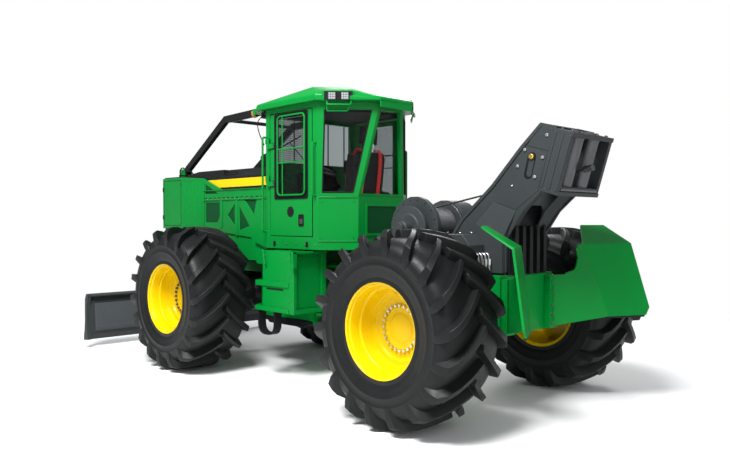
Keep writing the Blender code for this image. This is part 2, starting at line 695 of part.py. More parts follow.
def front_frame():
    outer = FRONT_HALF
    low = FRAME_LOW_Z
    top = FRONT_DECK_Z
    bay = 0.345
    bay_top = 1.170
    y_axle = -AXLE_REACH
    rails = both(prism([(NOSE_Y, low), (y_axle - bay, low), (y_axle - bay, bay_top),
                        (y_axle + bay, bay_top), (y_axle + bay, low), (FRONT_WALL_Y, low),
                        (FRONT_WALL_Y, top), (NOSE_Y, top)], "X", outer - RAIL_T, outer))
    inside = outer - RAIL_T / 2
    cross = [block(-inside, inside, FRONT_WALL_Y - 0.05, FRONT_WALL_Y - 0.001, low - 0.045, top - 0.01),
             block(-inside, inside, NOSE_Y + 0.001, NOSE_Y + 0.05, low, top - 0.01),
             block(-inside, inside, NOSE_Y + 0.01, FRONT_WALL_Y - 0.01, top - 0.04, top - 0.0005)]
    hubs = []
    for sign in (1, -1):
        y_in = y_axle + sign * bay
        y_out = y_in + sign * 0.060
        hubs.append(block(-inside, inside, min(y_in, y_out), max(y_in, y_out), low + 0.05, top - 0.01))
    pads = [block(-0.36, 0.36, -0.90, -0.52, top - 0.02, CAB_LOW_Z - FACE_GAP)]
    shelf = [block(-HOOD_HALF + 0.12, HOOD_HALF - 0.12, -3.42, -3.30, top - 0.02, SIDE_LOW_Z + 0.10),
             block(-HOOD_HALF + 0.12, HOOD_HALF - 0.12, -1.30, -1.18, top - 0.02, SIDE_LOW_Z + 0.10)]
    hang = []
    for y in (-3.36, -1.24):
        for side in (1, -1):
            x_in = side * (HOOD_HALF - 0.16)
            x_out = side * (HOOD_HALF - SIDE_T - FACE_GAP)
            hang.append(block(min(x_in, x_out), max(x_in, x_out), y - 0.05, y + 0.05,
                              SIDE_LOW_Z + 0.02, SIDE_LOW_Z + 0.09))
    carry = both(block(outer - 0.02, BOX_IN - FACE_GAP, BOX_FRONT_Y + 0.03, FRONT_WALL_Y - 0.02,
                       0.86, 1.20))
    hitch = []
    for z in (TONGUE_LOWER_Z, TONGUE_UPPER_Z):
        for plate_z in (z - RUN_GAP - FORK_T, z + TONGUE_T + RUN_GAP):
            hitch.append(plate_to_pivot(outer - 0.03, FRONT_WALL_Y - 0.03, FORK_END_R, plate_z, FORK_T))
        hitch.append(rod("Z", (0, 0, 0), PIN_R, z - RUN_GAP - 0.02, z + TONGUE_T + RUN_GAP + 0.02,
                         AXLE_SIDES))
    ears = []
    eye_half = EYE_R - 0.012
    for z in (STEER_Z - eye_half - RUN_GAP - 0.030, STEER_Z + eye_half + RUN_GAP):
        ears += both(prism([(STEER_ARM - 0.12, FRONT_WALL_Y - 0.03), (outer - 0.02, FRONT_WALL_Y - 0.03),
                            (STEER_ARM + 0.055, 0.015), (STEER_ARM + 0.02, 0.055),
                            (STEER_ARM - 0.02, 0.055), (STEER_ARM - 0.055, 0.015)],
                           "Z", z, z + 0.030))
    arm_pins = [rod("X", (0, ARM_PIVOT_Y, ARM_PIVOT_Z), PIN_R, side * (outer - 0.03), side * (ARM_OUT + 0.015),
                    AXLE_SIDES) for side in (1, -1)]
    lift_pins = [rod("X", (0, LIFT_PIN_Y, LIFT_PIN_Z), EYE_PIN_R, side * (outer - 0.02),
                     side * (LIFT_X + 0.040)) for side in (1, -1)]
    lift_posts = both(block(outer - 0.055, outer - 0.001, LIFT_PIN_Y - 0.09, LIFT_PIN_Y + 0.09, top - 0.03,
                            LIFT_PIN_Z + 0.09))
    holes = [rod("Y", (0, 0, TYRE_R), TRUNNION_R + PIN_GAP, y_axle - TRUNNION_HALF - 0.03,
                 y_axle + TRUNNION_HALF + 0.03, WHEEL_SIDES)]
    shapes = rails + cross + hubs + pads + shelf + hang + carry + hitch + ears
    shapes += arm_pins + lift_pins + lift_posts
    node("front_frame", fuse(shapes, holes), "green", "steering")


def belly_guard():
    """A skid plate under the frame, its ends turned up."""
    top = FRAME_LOW_Z - FACE_GAP
    outline = [(-1.420, top), (-1.300, top - 0.085), (-0.620, top - 0.085),
               (FRONT_WALL_Y - 0.055, top - 0.030), (FRONT_WALL_Y - 0.055, top)]
    node("belly_guard", prism(outline, "X", -0.400, 0.400), "black", "steering")


def engine():
    base = FRONT_DECK_Z + FACE_GAP
    node("engine_block", block(-0.300, 0.300, -2.900, -1.400, base, 2.150), "black", "steering")


def front_axle():
    pivot = (0, -AXLE_REACH, TYRE_R)
    joint("axle_swing", pivot, "steering")
    trunnion = rod("Y", (0, 0, TYRE_R), TRUNNION_R, -AXLE_REACH - TRUNNION_HALF + 0.025,
                   -AXLE_REACH + TRUNNION_HALF - 0.025, WHEEL_SIDES)
    nose = rod("Y", (0, 0, TYRE_R), 0.150, -AXLE_REACH - 0.335, -AXLE_REACH + 0.335, AXLE_SIDES)
    node("front_axle", fuse([axle_mesh(-AXLE_REACH), nose, trunnion]), "black", "axle_swing")


# ---------------------------------------------------------------- engine enclosure

def grille():
    half = HOOD_HALF - SIDE_T - FACE_GAP * 2
    frame = block(-half, half, HOOD_FRONT_Y, HOOD_FRONT_Y + 0.055, SIDE_LOW_Z - 0.30, SIDE_TOP_Z - 0.045)
    pane = []
    bars = 6
    low = SIDE_LOW_Z - 0.22
    high = SIDE_TOP_Z - 0.12
    pitch = (high - low) / bars
    for k in range(bars):
        z = low + k * pitch
        pane.append(block(-half + 0.08, half - 0.08, HOOD_FRONT_Y - 0.05, HOOD_FRONT_Y + 0.025,
                          z + 0.02, z + pitch - 0.02))
    node("grille", fuse([frame], pane), "green", "steering")


def engine_side(side):
    """A side of the enclosure: solid at the radiator, sloped down to a belt that runs to the cab."""
    outline = [(HOOD_FRONT_Y, SIDE_LOW_Z), (-2.420, SIDE_LOW_Z), (-1.300, 1.620), (-1.180, 1.300),
               (HOOD_REAR_Y, 1.300), (HOOD_REAR_Y, BELT_TOP_Z), (-1.960, BELT_TOP_Z),
               (-2.420, 2.405), (-2.950, SIDE_TOP_Z), (HOOD_FRONT_Y, SIDE_TOP_Z)]
    plate = prism(outline, "X", HOOD_HALF - SIDE_T, HOOD_HALF)
    windows = [
        [(-2.360, BELT_TOP_Z - 0.050), (-2.040, BELT_TOP_Z - 0.050), (-2.360, 2.330)],
        [(-2.360, 1.800), (-2.060, 1.800), (-2.000, 1.880), (-2.000, 2.080), (-2.360, 2.080)],
        [(-1.660, 1.760), (-1.660, 2.050), (-1.830, 1.900)],
        [(-1.560, 1.700), (-1.330, 1.760), (-1.560, 2.020)],
        [(-1.450, BELT_LOW_Z - 0.020), (-1.180, BELT_LOW_Z - 0.020), (-1.240, 1.900)],
    ]
    cuts = [prism(w, "X", HOOD_HALF - 0.012, HOOD_HALF + 0.05) for w in windows]
    mesh = fuse([plate], cuts)
    if side < 0:
        mesh = mirrored(mesh)
    node("engine_side_" + ("left" if side > 0 else "right"), mesh, "green", "steering")


def hood():
    """The raised black cover over the engine, open below, resting on both sides."""
    half = HOOD_HALF - 0.030
    rear = HOOD_REAR_Y
    wide = [(-half, BELT_TOP_Z + FACE_GAP), (half, BELT_TOP_Z + FACE_GAP), (half, 2.400),
            (half - 0.090, HOOD_TOP_Z), (-half + 0.090, HOOD_TOP_Z), (-half, 2.400)]
    inner = [(x * 0.93, z - 0.035) for x, z in wide]
    inner[0] = (inner[0][0], BELT_TOP_Z - 0.05)
    inner[1] = (inner[1][0], BELT_TOP_Z - 0.05)
    body = prism(wide, "Y", -1.960, rear)
    nose = prism([(-1.950, BELT_TOP_Z + 0.002), (-1.950, HOOD_TOP_Z - 0.0005), (-2.560, HOOD_TOP_Z - 0.0005),
                  (-2.900, SIDE_TOP_Z + 0.015), (HOOD_FRONT_Y, SIDE_TOP_Z + 0.015),
                  (HOOD_FRONT_Y, SIDE_TOP_Z + FACE_GAP), (-2.950, SIDE_TOP_Z + FACE_GAP),
                  (-2.420, 2.405 + FACE_GAP)], "X", -half + 0.002, half - 0.002)
    hollow = prism(inner, "Y", -2.480, rear - 0.06)
    node("hood", fuse([body, nose], [hollow]), "black", "steering")


def limb_riser(side):
    """The bent bar that guides branches from the hood's front to the roof."""
    x = side * 0.560
    foot = [x, -3.060, SIDE_TOP_Z + 0.015 + FACE_GAP + 0.045]
    route = [foot, (x, -2.985, 2.560), (x, -2.020, 3.170), (x, ROOF_FRONT_Y - 0.006, 3.190)]
    bar = swept(route, 0.035, 0.045, (1, 0, 0))
    shoe = block(x - 0.06, x + 0.06, -3.15, -2.97, SIDE_TOP_Z + 0.015 + FACE_GAP, SIDE_TOP_Z + 0.05)
    node("limb_riser_" + ("left" if side > 0 else "right"), fuse([bar, shoe]), "black", "steering")


# ---------------------------------------------------------------- cab

def cab_plan(z, shrink):
    """The cab's outline at a height: square in front, with cut corners behind."""
    share = (z - SILL_Z) / (CAB_TOP_Z - SILL_Z)
    share = max(0.0, share)
    back_half = SILL_BACK_HALF + (TOP_BACK_HALF - SILL_BACK_HALF) * share
    back_y = SILL_BACK_Y + (TOP_BACK_Y - SILL_BACK_Y) * share
    half = CAB_HALF - shrink
    corner_y = CAB_CORNER_Y - shrink * 0.4
    back_half = back_half - shrink * 0.35
    back_y = back_y - shrink
    front = CAB_FRONT_Y + shrink
    return [(half, front, z), (half, corner_y, z), (back_half, back_y, z), (-back_half, back_y, z),
            (-half, corner_y, z), (-half, front, z)]


def knuckle(z, back_y):
    """Half of a hinge: a round barrel and the leaf that carries it, standing on height z."""
    sunk = CAB_HALF - 0.002
    clear = CAB_HALF + 0.004
    step_y = HINGE_Y + math.copysign(0.016, back_y - HINGE_Y)
    leaf = prism([(sunk, back_y), (sunk, step_y), (clear, step_y), (clear, HINGE_Y),
                  (HINGE_X, HINGE_Y), (HINGE_X, back_y)], "Z", z + 0.001, z + HINGE_H - 0.001)
    return [rod("Z", (HINGE_X, HINGE_Y, 0), HINGE_R, z, z + HINGE_H, 12), leaf]


def door_gap():
    return block(-CAB_HALF - 0.1, CAB_HALF + 0.1, DOOR_FRONT_Y, DOOR_BACK_Y, DOOR_LOW_Z, DOOR_TOP_Z)


def cab_lower():
    outer = loft(cab_plan(CAB_LOW_Z, 0), cab_plan(SILL_Z - FACE_GAP, 0))
    hollow = loft(cab_plan(CAB_LOW_Z + WALL_T, WALL_T), cab_plan(SILL_Z + 0.05, WALL_T))
    node("cab_lower", fuse([outer], [hollow, door_gap()]), "green", "steering")


def on_chamfer(share, depth, z):
    """A point of the cut corner's plane: share 0 at the side, 1 at the rear post."""
    at = cab_plan(z, 0)
    a = Vector(at[1])
    b = Vector(at[2])
    out = Vector((b.y - a.y, a.x - b.x, 0)).normalized()
    return a + (b - a) * share + out * depth


def cab_frame():
    """Posts and rails round the windows, from the sill to the roof."""
    outer = loft(cab_plan(SILL_Z, 0), cab_plan(CAB_TOP_Z - FACE_GAP, 0))
    hollow = loft(cab_plan(SILL_Z - 0.01, WALL_T), cab_plan(CAB_TOP_Z + 0.05, WALL_T))
    low = SILL_Z + 0.035
    high = CAB_TOP_Z - 0.085
    windshield = block(-CAB_HALF + 0.090, CAB_HALF - 0.090, CAB_FRONT_Y - 0.1, CAB_FRONT_Y + 0.1,
                       HOOD_TOP_Z + 0.040, high)
    corner = []
    for z, share in ((low, 0.860), (high, 0.900)):
        corner.append([on_chamfer(s, d, z) for s, d in ((0.11, 0.1), (0.11, -0.1), (share, -0.1), (share, 0.1))])
    corner_window = loft(corner[0], corner[1])
    rear = []
    for z, inset in ((low, 0.040), (high, 0.045)):
        at = cab_plan(z, 0)
        half = at[2][0] - inset
        y = at[2][1]
        rear.append([(half, y - 0.1, z), (half, y + 0.1, z), (-half, y + 0.1, z), (-half, y - 0.1, z)])
    rear_window = loft(rear[0], rear[1])
    cuts = [hollow, door_gap(), windshield, corner_window, mirrored(corner_window), rear_window]
    hinges = []
    for z in HINGE_ZS:
        for shape in knuckle(z + FACE_GAP, CAB_FRONT_Y + 0.010):
            hinges += both(shape)
    node("cab_frame", fuse([fuse([outer], cuts)] + hinges), "green", "steering")


def cab_roof():
    """A roof whose middle is raised, with cut rear corners that carry the work lights."""
    z = CAB_TOP_Z + FACE_GAP
    low = [(0.600, ROOF_FRONT_Y, z), (ROOF_HALF, -1.020, z), (ROOF_HALF, 0.060, z), (0.400, 0.400, z),
           (0.260, 0.560, z)]
    mid = [(0.600, ROOF_FRONT_Y, z + 0.055), (ROOF_HALF, -1.020, z + 0.070), (ROOF_HALF, 0.060, z + 0.075),
           (0.420, 0.380, z + 0.080), (0.260, 0.560, z + 0.045)]
    top = [(0.520, -1.180, z + 0.085), (0.660, -0.900, z + 0.110), (0.660, -0.140, ROOF_PEAK_Z),
           (0.330, 0.150, ROOF_PEAK_Z), (0.260, 0.420, z + 0.075)]
    bm = bmesh.new()
    for ring in (low, mid, top):
        for x, y, h in ring:
            bm.verts.new((x, y, h))
            bm.verts.new((-x, y, h))
    bmesh.ops.convex_hull(bm, input=bm.verts)
    loose = [v for v in bm.verts if not v.link_faces]
    bmesh.ops.delete(bm, geom=loose, context="VERTS")
    node("cab_roof", finish(bm), "green", "steering")


def cab_door(side):
    """A whole door: its frame, lower panel and window opening."""
    gap = RUN_GAP + 0.001
    x1 = CAB_HALF
    slab = block(x1 - DOOR_T, x1, DOOR_FRONT_Y + gap, DOOR_BACK_Y - gap, DOOR_LOW_Z + gap, DOOR_TOP_Z - gap)
    window = block(x1 - 0.2, x1 + 0.2, -0.735, -0.150, 2.100, 3.030)
    hinges = []
    for z in HINGE_ZS:
        hinges += knuckle(z - HINGE_H - FACE_GAP, DOOR_FRONT_Y + 0.080)
    mesh = fuse([slab] + hinges, [window])
    if side < 0:
        mesh = mirrored(mesh)
    word = "left" if side > 0 else "right"
    joint("swing_door_" + word, (side * HINGE_X, HINGE_Y, HINGE_ZS[0]), "steering")
    node("cab_door_" + word, mesh, "green", "swing_door_" + word)
    x0 = x1 - DOOR_T / 2 - GLASS_T / 2
    pane = block(x0, x0 + GLASS_T, -0.735 + FACE_GAP, -0.150 - FACE_GAP, 2.100 + FACE_GAP, 3.030 - FACE_GAP)
    if side < 0:
        pane = mirrored(pane)
    node("door_glass_" + word, pane, "glass", "swing_door_" + word)


def cab_glass():
    y = CAB_FRONT_Y + WALL_T + FACE_GAP
    half = CAB_HALF - WALL_T - SCREEN_LAP
    pane = block(-half, half, y, y + GLASS_T, HOOD_TOP_Z + 0.010, CAB_TOP_Z - 0.050)
    node("windshield", pane, "glass", "steering")
    near = WALL_T + FACE_GAP * 2
    far = near + GLASS_T
    rings = []
    for z in (SILL_Z + 0.010, CAB_TOP_Z - 0.040):
        ring = []
        for shrink, order in ((near, 1), (far, -1)):
            at = cab_plan(z, shrink)
            a = Vector(at[1])
            b = Vector(at[2])
            start = a + (b - a) * 0.04
            half = [start, b]
            points = half + [Vector((-p.x, p.y, p.z)) for p in reversed(half)]
            ring += points[::order]
        rings.append(ring)
    node("rear_window", loft(rings[0], rings[1]), "glass", "steering")


def operator_seat():
    """A plain closed seat: base, cushion, back and headrest."""
    base = CAB_LOW_Z + WALL_T + FACE_GAP
    outline = [(-0.520, base), (-0.100, base), (-0.100, base + 0.30), (0.020, base + 0.36),
               (0.120, 2.560), (0.110, 2.700), (0.150, 2.720), (0.150, 2.930), (0.050, 2.930),
               (0.030, 2.700), (-0.030, 2.560), (-0.120, 2.080), (-0.580, 2.100), (-0.600, 1.980),
               (-0.520, 1.960)]
    node("operator_seat", prism(outline, "X", -SEAT_HALF, SEAT_HALF), "fabric", "steering")


def console():
    """The control stand to the right of the seat."""
    base = CAB_LOW_Z + WALL_T + FACE_GAP
    outline = [(-0.560, base), (-0.080, base), (-0.080, 2.180), (-0.300, 2.240), (-0.560, 2.200)]
    outer = CAB_HALF - WALL_T - CONSOLE_CLEAR
    inner = SEAT_HALF + SEAT_CLEAR
    node("control_console", prism(outline, "X", -outer, -inner), "black", "steering")


def dash():
    base = CAB_LOW_Z + WALL_T + FACE_GAP
    y = CAB_FRONT_Y + WALL_T + GLASS_T + FACE_GAP * 3
    outline = [(y, base), (y + 0.100, base), (y + 0.120, 2.300), (y + 0.060, 2.420), (y, 2.420)]
    node("dashboard", prism(outline, "X", -0.300, 0.300), "black", "steering")


# ---------------------------------------------------------------- beside the cab

def step_box(side):
    """The box under the door with two treads on its front."""
    body = block(BOX_IN, BOX_OUT, BOX_FRONT_Y, BOX_BACK_Y, BOX_LOW_Z, BOX_TOP_Z)
    treads = [block(BOX_IN + 0.10, BOX_OUT + 0.001, BOX_FRONT_Y - 0.135, BOX_FRONT_Y + 0.01, z, z + 0.055)
              for z in (0.790, 1.080)]
    cheek = block(BOX_IN + 0.08, BOX_IN + 0.11, BOX_FRONT_Y - 0.130, BOX_FRONT_Y + 0.01, 0.800, 1.400)
    recess = block(BOX_IN + 0.06, BOX_OUT - 0.04, BOX_BACK_Y - 0.030, BOX_BACK_Y + 0.1, BOX_LOW_Z + 0.05,
                   BOX_TOP_Z - 0.05)
    mesh = fuse([body, cheek] + treads, [recess])
    word = "left" if side > 0 else "right"
    if side < 0:
        mesh = mirrored(mesh)
    node("step_box_" + word, mesh, "green", "steering")


# ---------------------------------------------------------------- blade

def blade():
    joint("blade_lift", (0, ARM_PIVOT_Y, ARM_PIVOT_Z), "steering")
    steps = 6
    front = []
    for k in range(steps + 1):
        share = k / steps
        z = BLADE_LOW_Z + (BLADE_TOP_Z - BLADE_LOW_Z) * share
        bulge = 0.115 * math.sin(math.pi * min(1.0, share * 0.72 + 0.10))
        front.append((-FRONT_REACH + bulge + 0.0355, z))
    shift = -FRONT_REACH - front[0][0]
    front = [(y + shift, z) for y, z in front]
    back = [(y + BLADE_T, z) for y, z in reversed(front)]
    plate = prism(front + back, "X", -BLADE_HALF + 0.01, BLADE_HALF - 0.01)
    ends = both(prism([(-FRONT_REACH + 0.002, BLADE_LOW_Z + 0.0), (BLADE_BACK_Y, BLADE_LOW_Z + 0.02),
                       (BLADE_BACK_Y, BLADE_TOP_Z - 0.03), (-FRONT_REACH + 0.04, BLADE_TOP_Z)],
                      "X", BLADE_HALF - 0.025, BLADE_HALF))
    backing = prism([(BLADE_BACK_Y - 0.06, 0.30), (BLADE_BACK_Y, 0.30), (BLADE_BACK_Y, 0.62),
                     (BLADE_BACK_Y - 0.06, 0.66)], "X", -BLADE_HALF + 0.02, BLADE_HALF - 0.02)
    node("blade", fuse([plate, backing] + ends), "charcoal", "blade_lift")
    arm = prism([(ARM_PIVOT_Y + 0.10, ARM_PIVOT_Z - 0.05), (ARM_PIVOT_Y + 0.10, ARM_PIVOT_Z + 0.05),
                 (ARM_PIVOT_Y + 0.05, ARM_PIVOT_Z + 0.10), (ARM_PIVOT_Y - 0.60, ARM_PIVOT_Z + 0.02),
                 (BLADE_BACK_Y + FACE_GAP, 0.600), (BLADE_BACK_Y + FACE_GAP, 0.330),
                 (ARM_PIVOT_Y - 0.60, 0.440), (ARM_PIVOT_Y + 0.05, ARM_PIVOT_Z - 0.10)],
                "X", ARM_IN, ARM_OUT)
    bridge = block(-ARM_IN - 0.02, ARM_IN + 0.02, BLADE_BACK_Y + 0.10, BLADE_BACK_Y + 0.20, 0.40, 0.54)
    holes = [rod("X", (0, ARM_PIVOT_Y, ARM_PIVOT_Z), PIN_R + PIN_GAP, -1.0, 1.0, AXLE_SIDES)]
    node("blade_arms", fuse(both(arm) + [bridge], holes), "charcoal", "blade_lift")


# ---------------------------------------------------------------- hydraulic cylinders

def cylinder(name, pin, eye, barrel_length, inside, width, axis, holder, rod_holder, slide_name):
    """A barrel on its pin and a rod whose eye is the linkage's open end.

    pin and eye are the two centres; axis is the pin's direction; inside is the distance
    from the pin to the rod's hidden end.
    """
    pin = Vector(pin)
    eye = Vector(eye)
    span = (eye - pin).length
    barrel_joint = name + "_swing"
    joint(barrel_joint, pin, holder)
    tube = [(0.046, 0.0), (0.046, BARREL_R), (barrel_length, BARREL_R), (barrel_length, ROD_R + BORE_GAP),
            (0.062, ROD_R + BORE_GAP), (0.062, 0.0)]
    bm_tube = turned(tube, "Y", (0, 0, 0), CYLINDER_SIDES)
    half = width / 2
    lug = rod(axis, (0, 0, 0), EYE_R, -half, half, CYLINDER_SIDES)
    neck = block(-0.030, 0.030, 0.020, 0.052, -0.030, 0.030)
    hole = rod(axis, (0, 0, 0), EYE_PIN_R + PIN_GAP, -0.2, 0.2, CYLINDER_SIDES)
    barrel = fuse([bm_tube, lug, neck], [hole])
    shaft = rod("Y", (0, 0, 0), ROD_R, inside, span - 0.02, CYLINDER_SIDES)
    tip = rod(axis, (0, span, 0), EYE_R - 0.004, -half, half, CYLINDER_SIDES)
    bar = fuse([shaft, tip])
    aim = (eye - pin).normalized()
    pin_way = Vector(lift(axis, 0, 0, 1))
    third = aim.cross(Vector((0, 0, 1))) if axis == "Z" else pin_way.cross(aim)
    columns = (third, aim, pin_way) if axis == "Z" else (pin_way, aim, third)
    turn = Matrix(columns).transposed().to_4x4()
    place = Matrix.Translation(pin) @ turn
    barrel.transform(place)
    bar.transform(place)
    node(name + "_barrel", barrel, "black", barrel_joint)
    joint(slide_name, eye, barrel_joint)
    node(name + "_rod", bar, "chrome", slide_name)


def cylinders():
    for side, word in ((1, "left"), (-1, "right")):
        x = side * STEER_ARM
        cylinder("steer_" + word, (x, STEER_BARREL_Y, STEER_Z), (x, 0.0, STEER_Z), 0.530, 0.283,
                 0.080, "Z", "vehicle", "steering", "steer_" + word + "_slide")
        x = side * LIFT_X
        cylinder("lift_" + word, (x, LIFT_PIN_Y, LIFT_PIN_Z), (x, LIFT_EYE_Y, LIFT_EYE_Z), 0.560, 0.411,
                 0.060, "X", "steering", "blade_lift", "lift_" + word + "_slide")


# ---------------------------------------------------------------- the whole machine

def centre_length():
    """Moves the machine along Y until its overall box is centred on the origin."""
    bpy.context.view_layer.update()
    ends = []
    for name in NODES:
        thing = bpy.data.objects[name]
        ends += [(thing.matrix_world @ v.co).y for v in thing.data.vertices]
    pivot_y = -(min(ends) + max(ends)) / 2
    JOINTS["vehicle"][0].location.y = pivot_y
    print("steering pivot at y =", round(pivot_y, 6))


def main():
    for thing in list(bpy.data.objects):
        bpy.data.objects.remove(thing)
    joint("vehicle", (0, 0, 0))
    joint("steering", (0, 0, 0))
    rear_frame()
    winch()
    winch_cable()
    arch()
    fairlead()
    butt_plate()
    valve_box()
    front_frame()
    belly_guard()
    engine()
    front_axle()
    grille()
    hood()
    for side in (1, -1):
        log_guard(side)
        engine_side(side)
        limb_riser(side)
        cab_door(side)
        step_box(side)
        wheel("rear", side, AXLE_REACH, "vehicle")
        wheel("front", side, -AXLE_REACH, "axle_swing")
    cab_lower()
    cab_frame()
    cab_roof()
    cab_glass()
    operator_seat()
    console()
    dash()
    blade()
    cylinders()
    centre_length()
    print(len(NODES), "nodes")


main()
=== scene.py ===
# %% [markdown]
# # An articulated cable skidder
# The machine is already built as a frame of separate bodies on joints. This lesson gives it its looks:
# real tyre lugs, deep rims, painted and beveled sheet metal, guards, pipes, lamps and a padded seat.
# Every new piece is a surface worked out with numpy and rides on one of the frame's bodies.

# %% The frame
import json
import math

import bmesh
import bpy
import numpy as np
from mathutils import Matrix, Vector


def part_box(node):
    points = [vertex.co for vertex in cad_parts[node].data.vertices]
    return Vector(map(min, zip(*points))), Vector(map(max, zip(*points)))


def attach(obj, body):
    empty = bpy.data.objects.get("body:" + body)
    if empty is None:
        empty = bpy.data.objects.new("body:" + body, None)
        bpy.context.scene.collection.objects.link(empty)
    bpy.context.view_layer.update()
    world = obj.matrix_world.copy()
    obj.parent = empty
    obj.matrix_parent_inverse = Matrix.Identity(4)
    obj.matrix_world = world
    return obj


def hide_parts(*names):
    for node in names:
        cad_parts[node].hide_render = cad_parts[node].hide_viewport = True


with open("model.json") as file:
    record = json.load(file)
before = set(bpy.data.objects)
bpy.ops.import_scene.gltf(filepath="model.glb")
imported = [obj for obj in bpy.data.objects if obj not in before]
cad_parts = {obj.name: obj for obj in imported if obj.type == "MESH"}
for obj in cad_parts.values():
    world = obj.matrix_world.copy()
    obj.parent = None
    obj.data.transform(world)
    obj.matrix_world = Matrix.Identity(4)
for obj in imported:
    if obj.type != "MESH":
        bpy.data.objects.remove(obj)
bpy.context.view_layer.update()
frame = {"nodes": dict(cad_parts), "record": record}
JOINTS = {j["name"]: j for j in frame["record"]["behaviour"]["joints"]}
PIVOT_Y = JOINTS["steering"]["pos_m"][1]
print("steering pivot at y =", PIVOT_Y, "and", len(frame["nodes"]), "CAD nodes")

# %% [markdown]
# ## Shapes as arrays
# A surface is a grid of points: rows along one parameter, columns along the other. Joining neighbours
# gives its faces, and a closed direction joins the last row or column to the first. Everything below
# makes such grids, so one helper turns any grid into corner and face arrays. Places along the machine
# are measured from the steering pivot, because both half frames are laid out from it.

# %% Grids, prisms and turned shapes
def grid(points, wrap_u=False, wrap_v=True, caps=True):
    """Faces between neighbours of a (rows, columns, 3) grid; caps close its first and last row."""
    rows, cols, _ = points.shape
    index = np.arange(rows * cols).reshape(rows, cols)
    below = index if wrap_u else index[:-1]
    above = np.roll(index, -1, 0) if wrap_u else index[1:]
    ring = [below, np.roll(below, -1, 1), np.roll(above, -1, 1), above]
    if not wrap_v:
        ring = [part[:, :-1] for part in ring]
    quads = np.stack(ring, -1).reshape(-1, 4).tolist()
    if caps and not wrap_u:
        quads += [index[0, ::-1].tolist(), index[-1].tolist()]
    return points.reshape(-1, 3), quads


def merged(shapes):
    """Several (corners, faces) shapes as one, each face list moved on by the corners before it."""
    corners = np.concatenate([s[0] for s in shapes])
    starts = np.cumsum([0] + [len(s[0]) for s in shapes[:-1]])
    faces = [[i + int(start) for i in face] for s, start in zip(shapes, starts) for face in s[1]]
    return corners, faces


def place(a, b, along, axis):
    """Sets two cross coordinates and a station along an axis as XYZ arrays."""
    order = {"X": (along, a, b), "Y": (a, along, b), "Z": (a, b, along)}[axis]
    return np.stack(np.broadcast_arrays(*order), -1).astype(float)


def prism(outline, axis, low, high):
    """An outline carried straight from low to high: two rings, one at each end."""
    ring = np.array(outline, float)
    rings = [place(ring[:, 0], ring[:, 1], station, axis) for station in (low, high)]
    return grid(np.stack(rings))


def block(x0, x1, y0, y1, z0, z1):
    """A box as a prism of its ground plan."""
    return prism([(x0, y0), (x1, y0), (x1, y1), (x0, y1)], "Z", z0, z1)


def lathe(profile, axis, centre, sides=48):
    """Profile (along, radius) turned about an axis: cross = radius * (sin t, cos t)."""
    shape = np.array(profile, float)
    t = np.linspace(0, 2 * np.pi, sides, endpoint=False)
    a = shape[:, 1:] * np.sin(t)
    b = shape[:, 1:] * np.cos(t)
    points = place(a, b, np.repeat(shape[:, :1], sides, 1), axis) + np.array(centre, float)
    return grid(points)


def tube(path, radius, sides=10, up=(0.0, 0.0, 1.0), flat=1.0):
    """A round bar along a path: point = path + radius * (cos t * side + flat * sin t * top)."""
    path = np.array(path, float)
    along = np.gradient(path, axis=0)
    along /= np.linalg.norm(along, axis=1, keepdims=True)
    side = np.cross(along, np.array(up, float))
    side /= np.linalg.norm(side, axis=1, keepdims=True)
    top = np.cross(side, along)
    t = np.linspace(0, 2 * np.pi, sides, endpoint=False)
    ring = np.cos(t)[None, :, None] * side[:, None] + flat * np.sin(t)[None, :, None] * top[:, None]
    return grid(path[:, None] + np.reshape(radius, (-1, 1, 1)) * ring)


def bent(points, radius=0.05, steps=6):
    """A route with each corner rounded by a quadratic arc that starts a radius before the corner."""
    route = [np.array(p, float) for p in points]
    out = [route[0]]
    share = np.linspace(0, 1, steps)[:, None]
    for before, corner, after in zip(route, route[1:], route[2:]):
        back = before - corner
        ahead = after - corner
        reach = min(radius, np.linalg.norm(back) * 0.45, np.linalg.norm(ahead) * 0.45)
        a = corner + back / np.linalg.norm(back) * reach
        b = corner + ahead / np.linalg.norm(ahead) * reach
        out += list((1 - share) ** 2 * a + 2 * share * (1 - share) * corner + share ** 2 * b)
    out.append(route[-1])
    return np.array(out)


def flowing(points, count=40):
    """A smooth route: a Catmull-Rom curve through the points, as whole arrays."""
    p = np.array([2 * np.array(points[0], float) - points[1], *points,
                  2 * np.array(points[-1], float) - points[-2]], float)
    s = np.linspace(0, len(points) - 1.0001, count)
    i = s.astype(int)
    t = (s - i)[:, None]
    a, b, c, d = p[i], p[i + 1], p[i + 2], p[i + 3]
    return 0.5 * (2 * b + (c - a) * t + (2 * a - 5 * b + 4 * c - d) * t ** 2
                  + (3 * b - a - 3 * c + d) * t ** 3)


def flipped(shape):
    """The mirror image across the machine: x becomes -x, so a left shape lands on the right."""
    corners, faces = shape
    return corners * np.array([-1.0, 1.0, 1.0]), [face[::-1] for face in faces]


print("shape helpers ready")

# %% [markdown]
# ## From arrays to pieces
# A finished piece keeps its object at the origin, with its place in its mesh. Bolt heads are one small
# hexagonal shape copied to many spots with one matrix product, and a guard screen is two sets of thin bars.

# %% Making pieces
GREEN, YELLOW, CHARCOAL, BLACK = "green_paint", "yellow_paint", "charcoal_paint", "black_paint"
RUBBER, STEEL, CHROME, GLASS = "tyre_rubber", "bare_steel", "chrome_rod", "window_glass"
CLOTH, PLASTIC = "seat_cloth", "moulded_plastic"
DARK = {"finish": STEEL, "look": "dark_steel"}
BRIGHT = {"finish": STEEL, "look": "silver_nut"}
ZINC = {"finish": STEEL, "look": "zinc_gold"}
SEAL = {"finish": PLASTIC, "look": "soft_rubber"}
MATERIALS = {}
PIECES = []


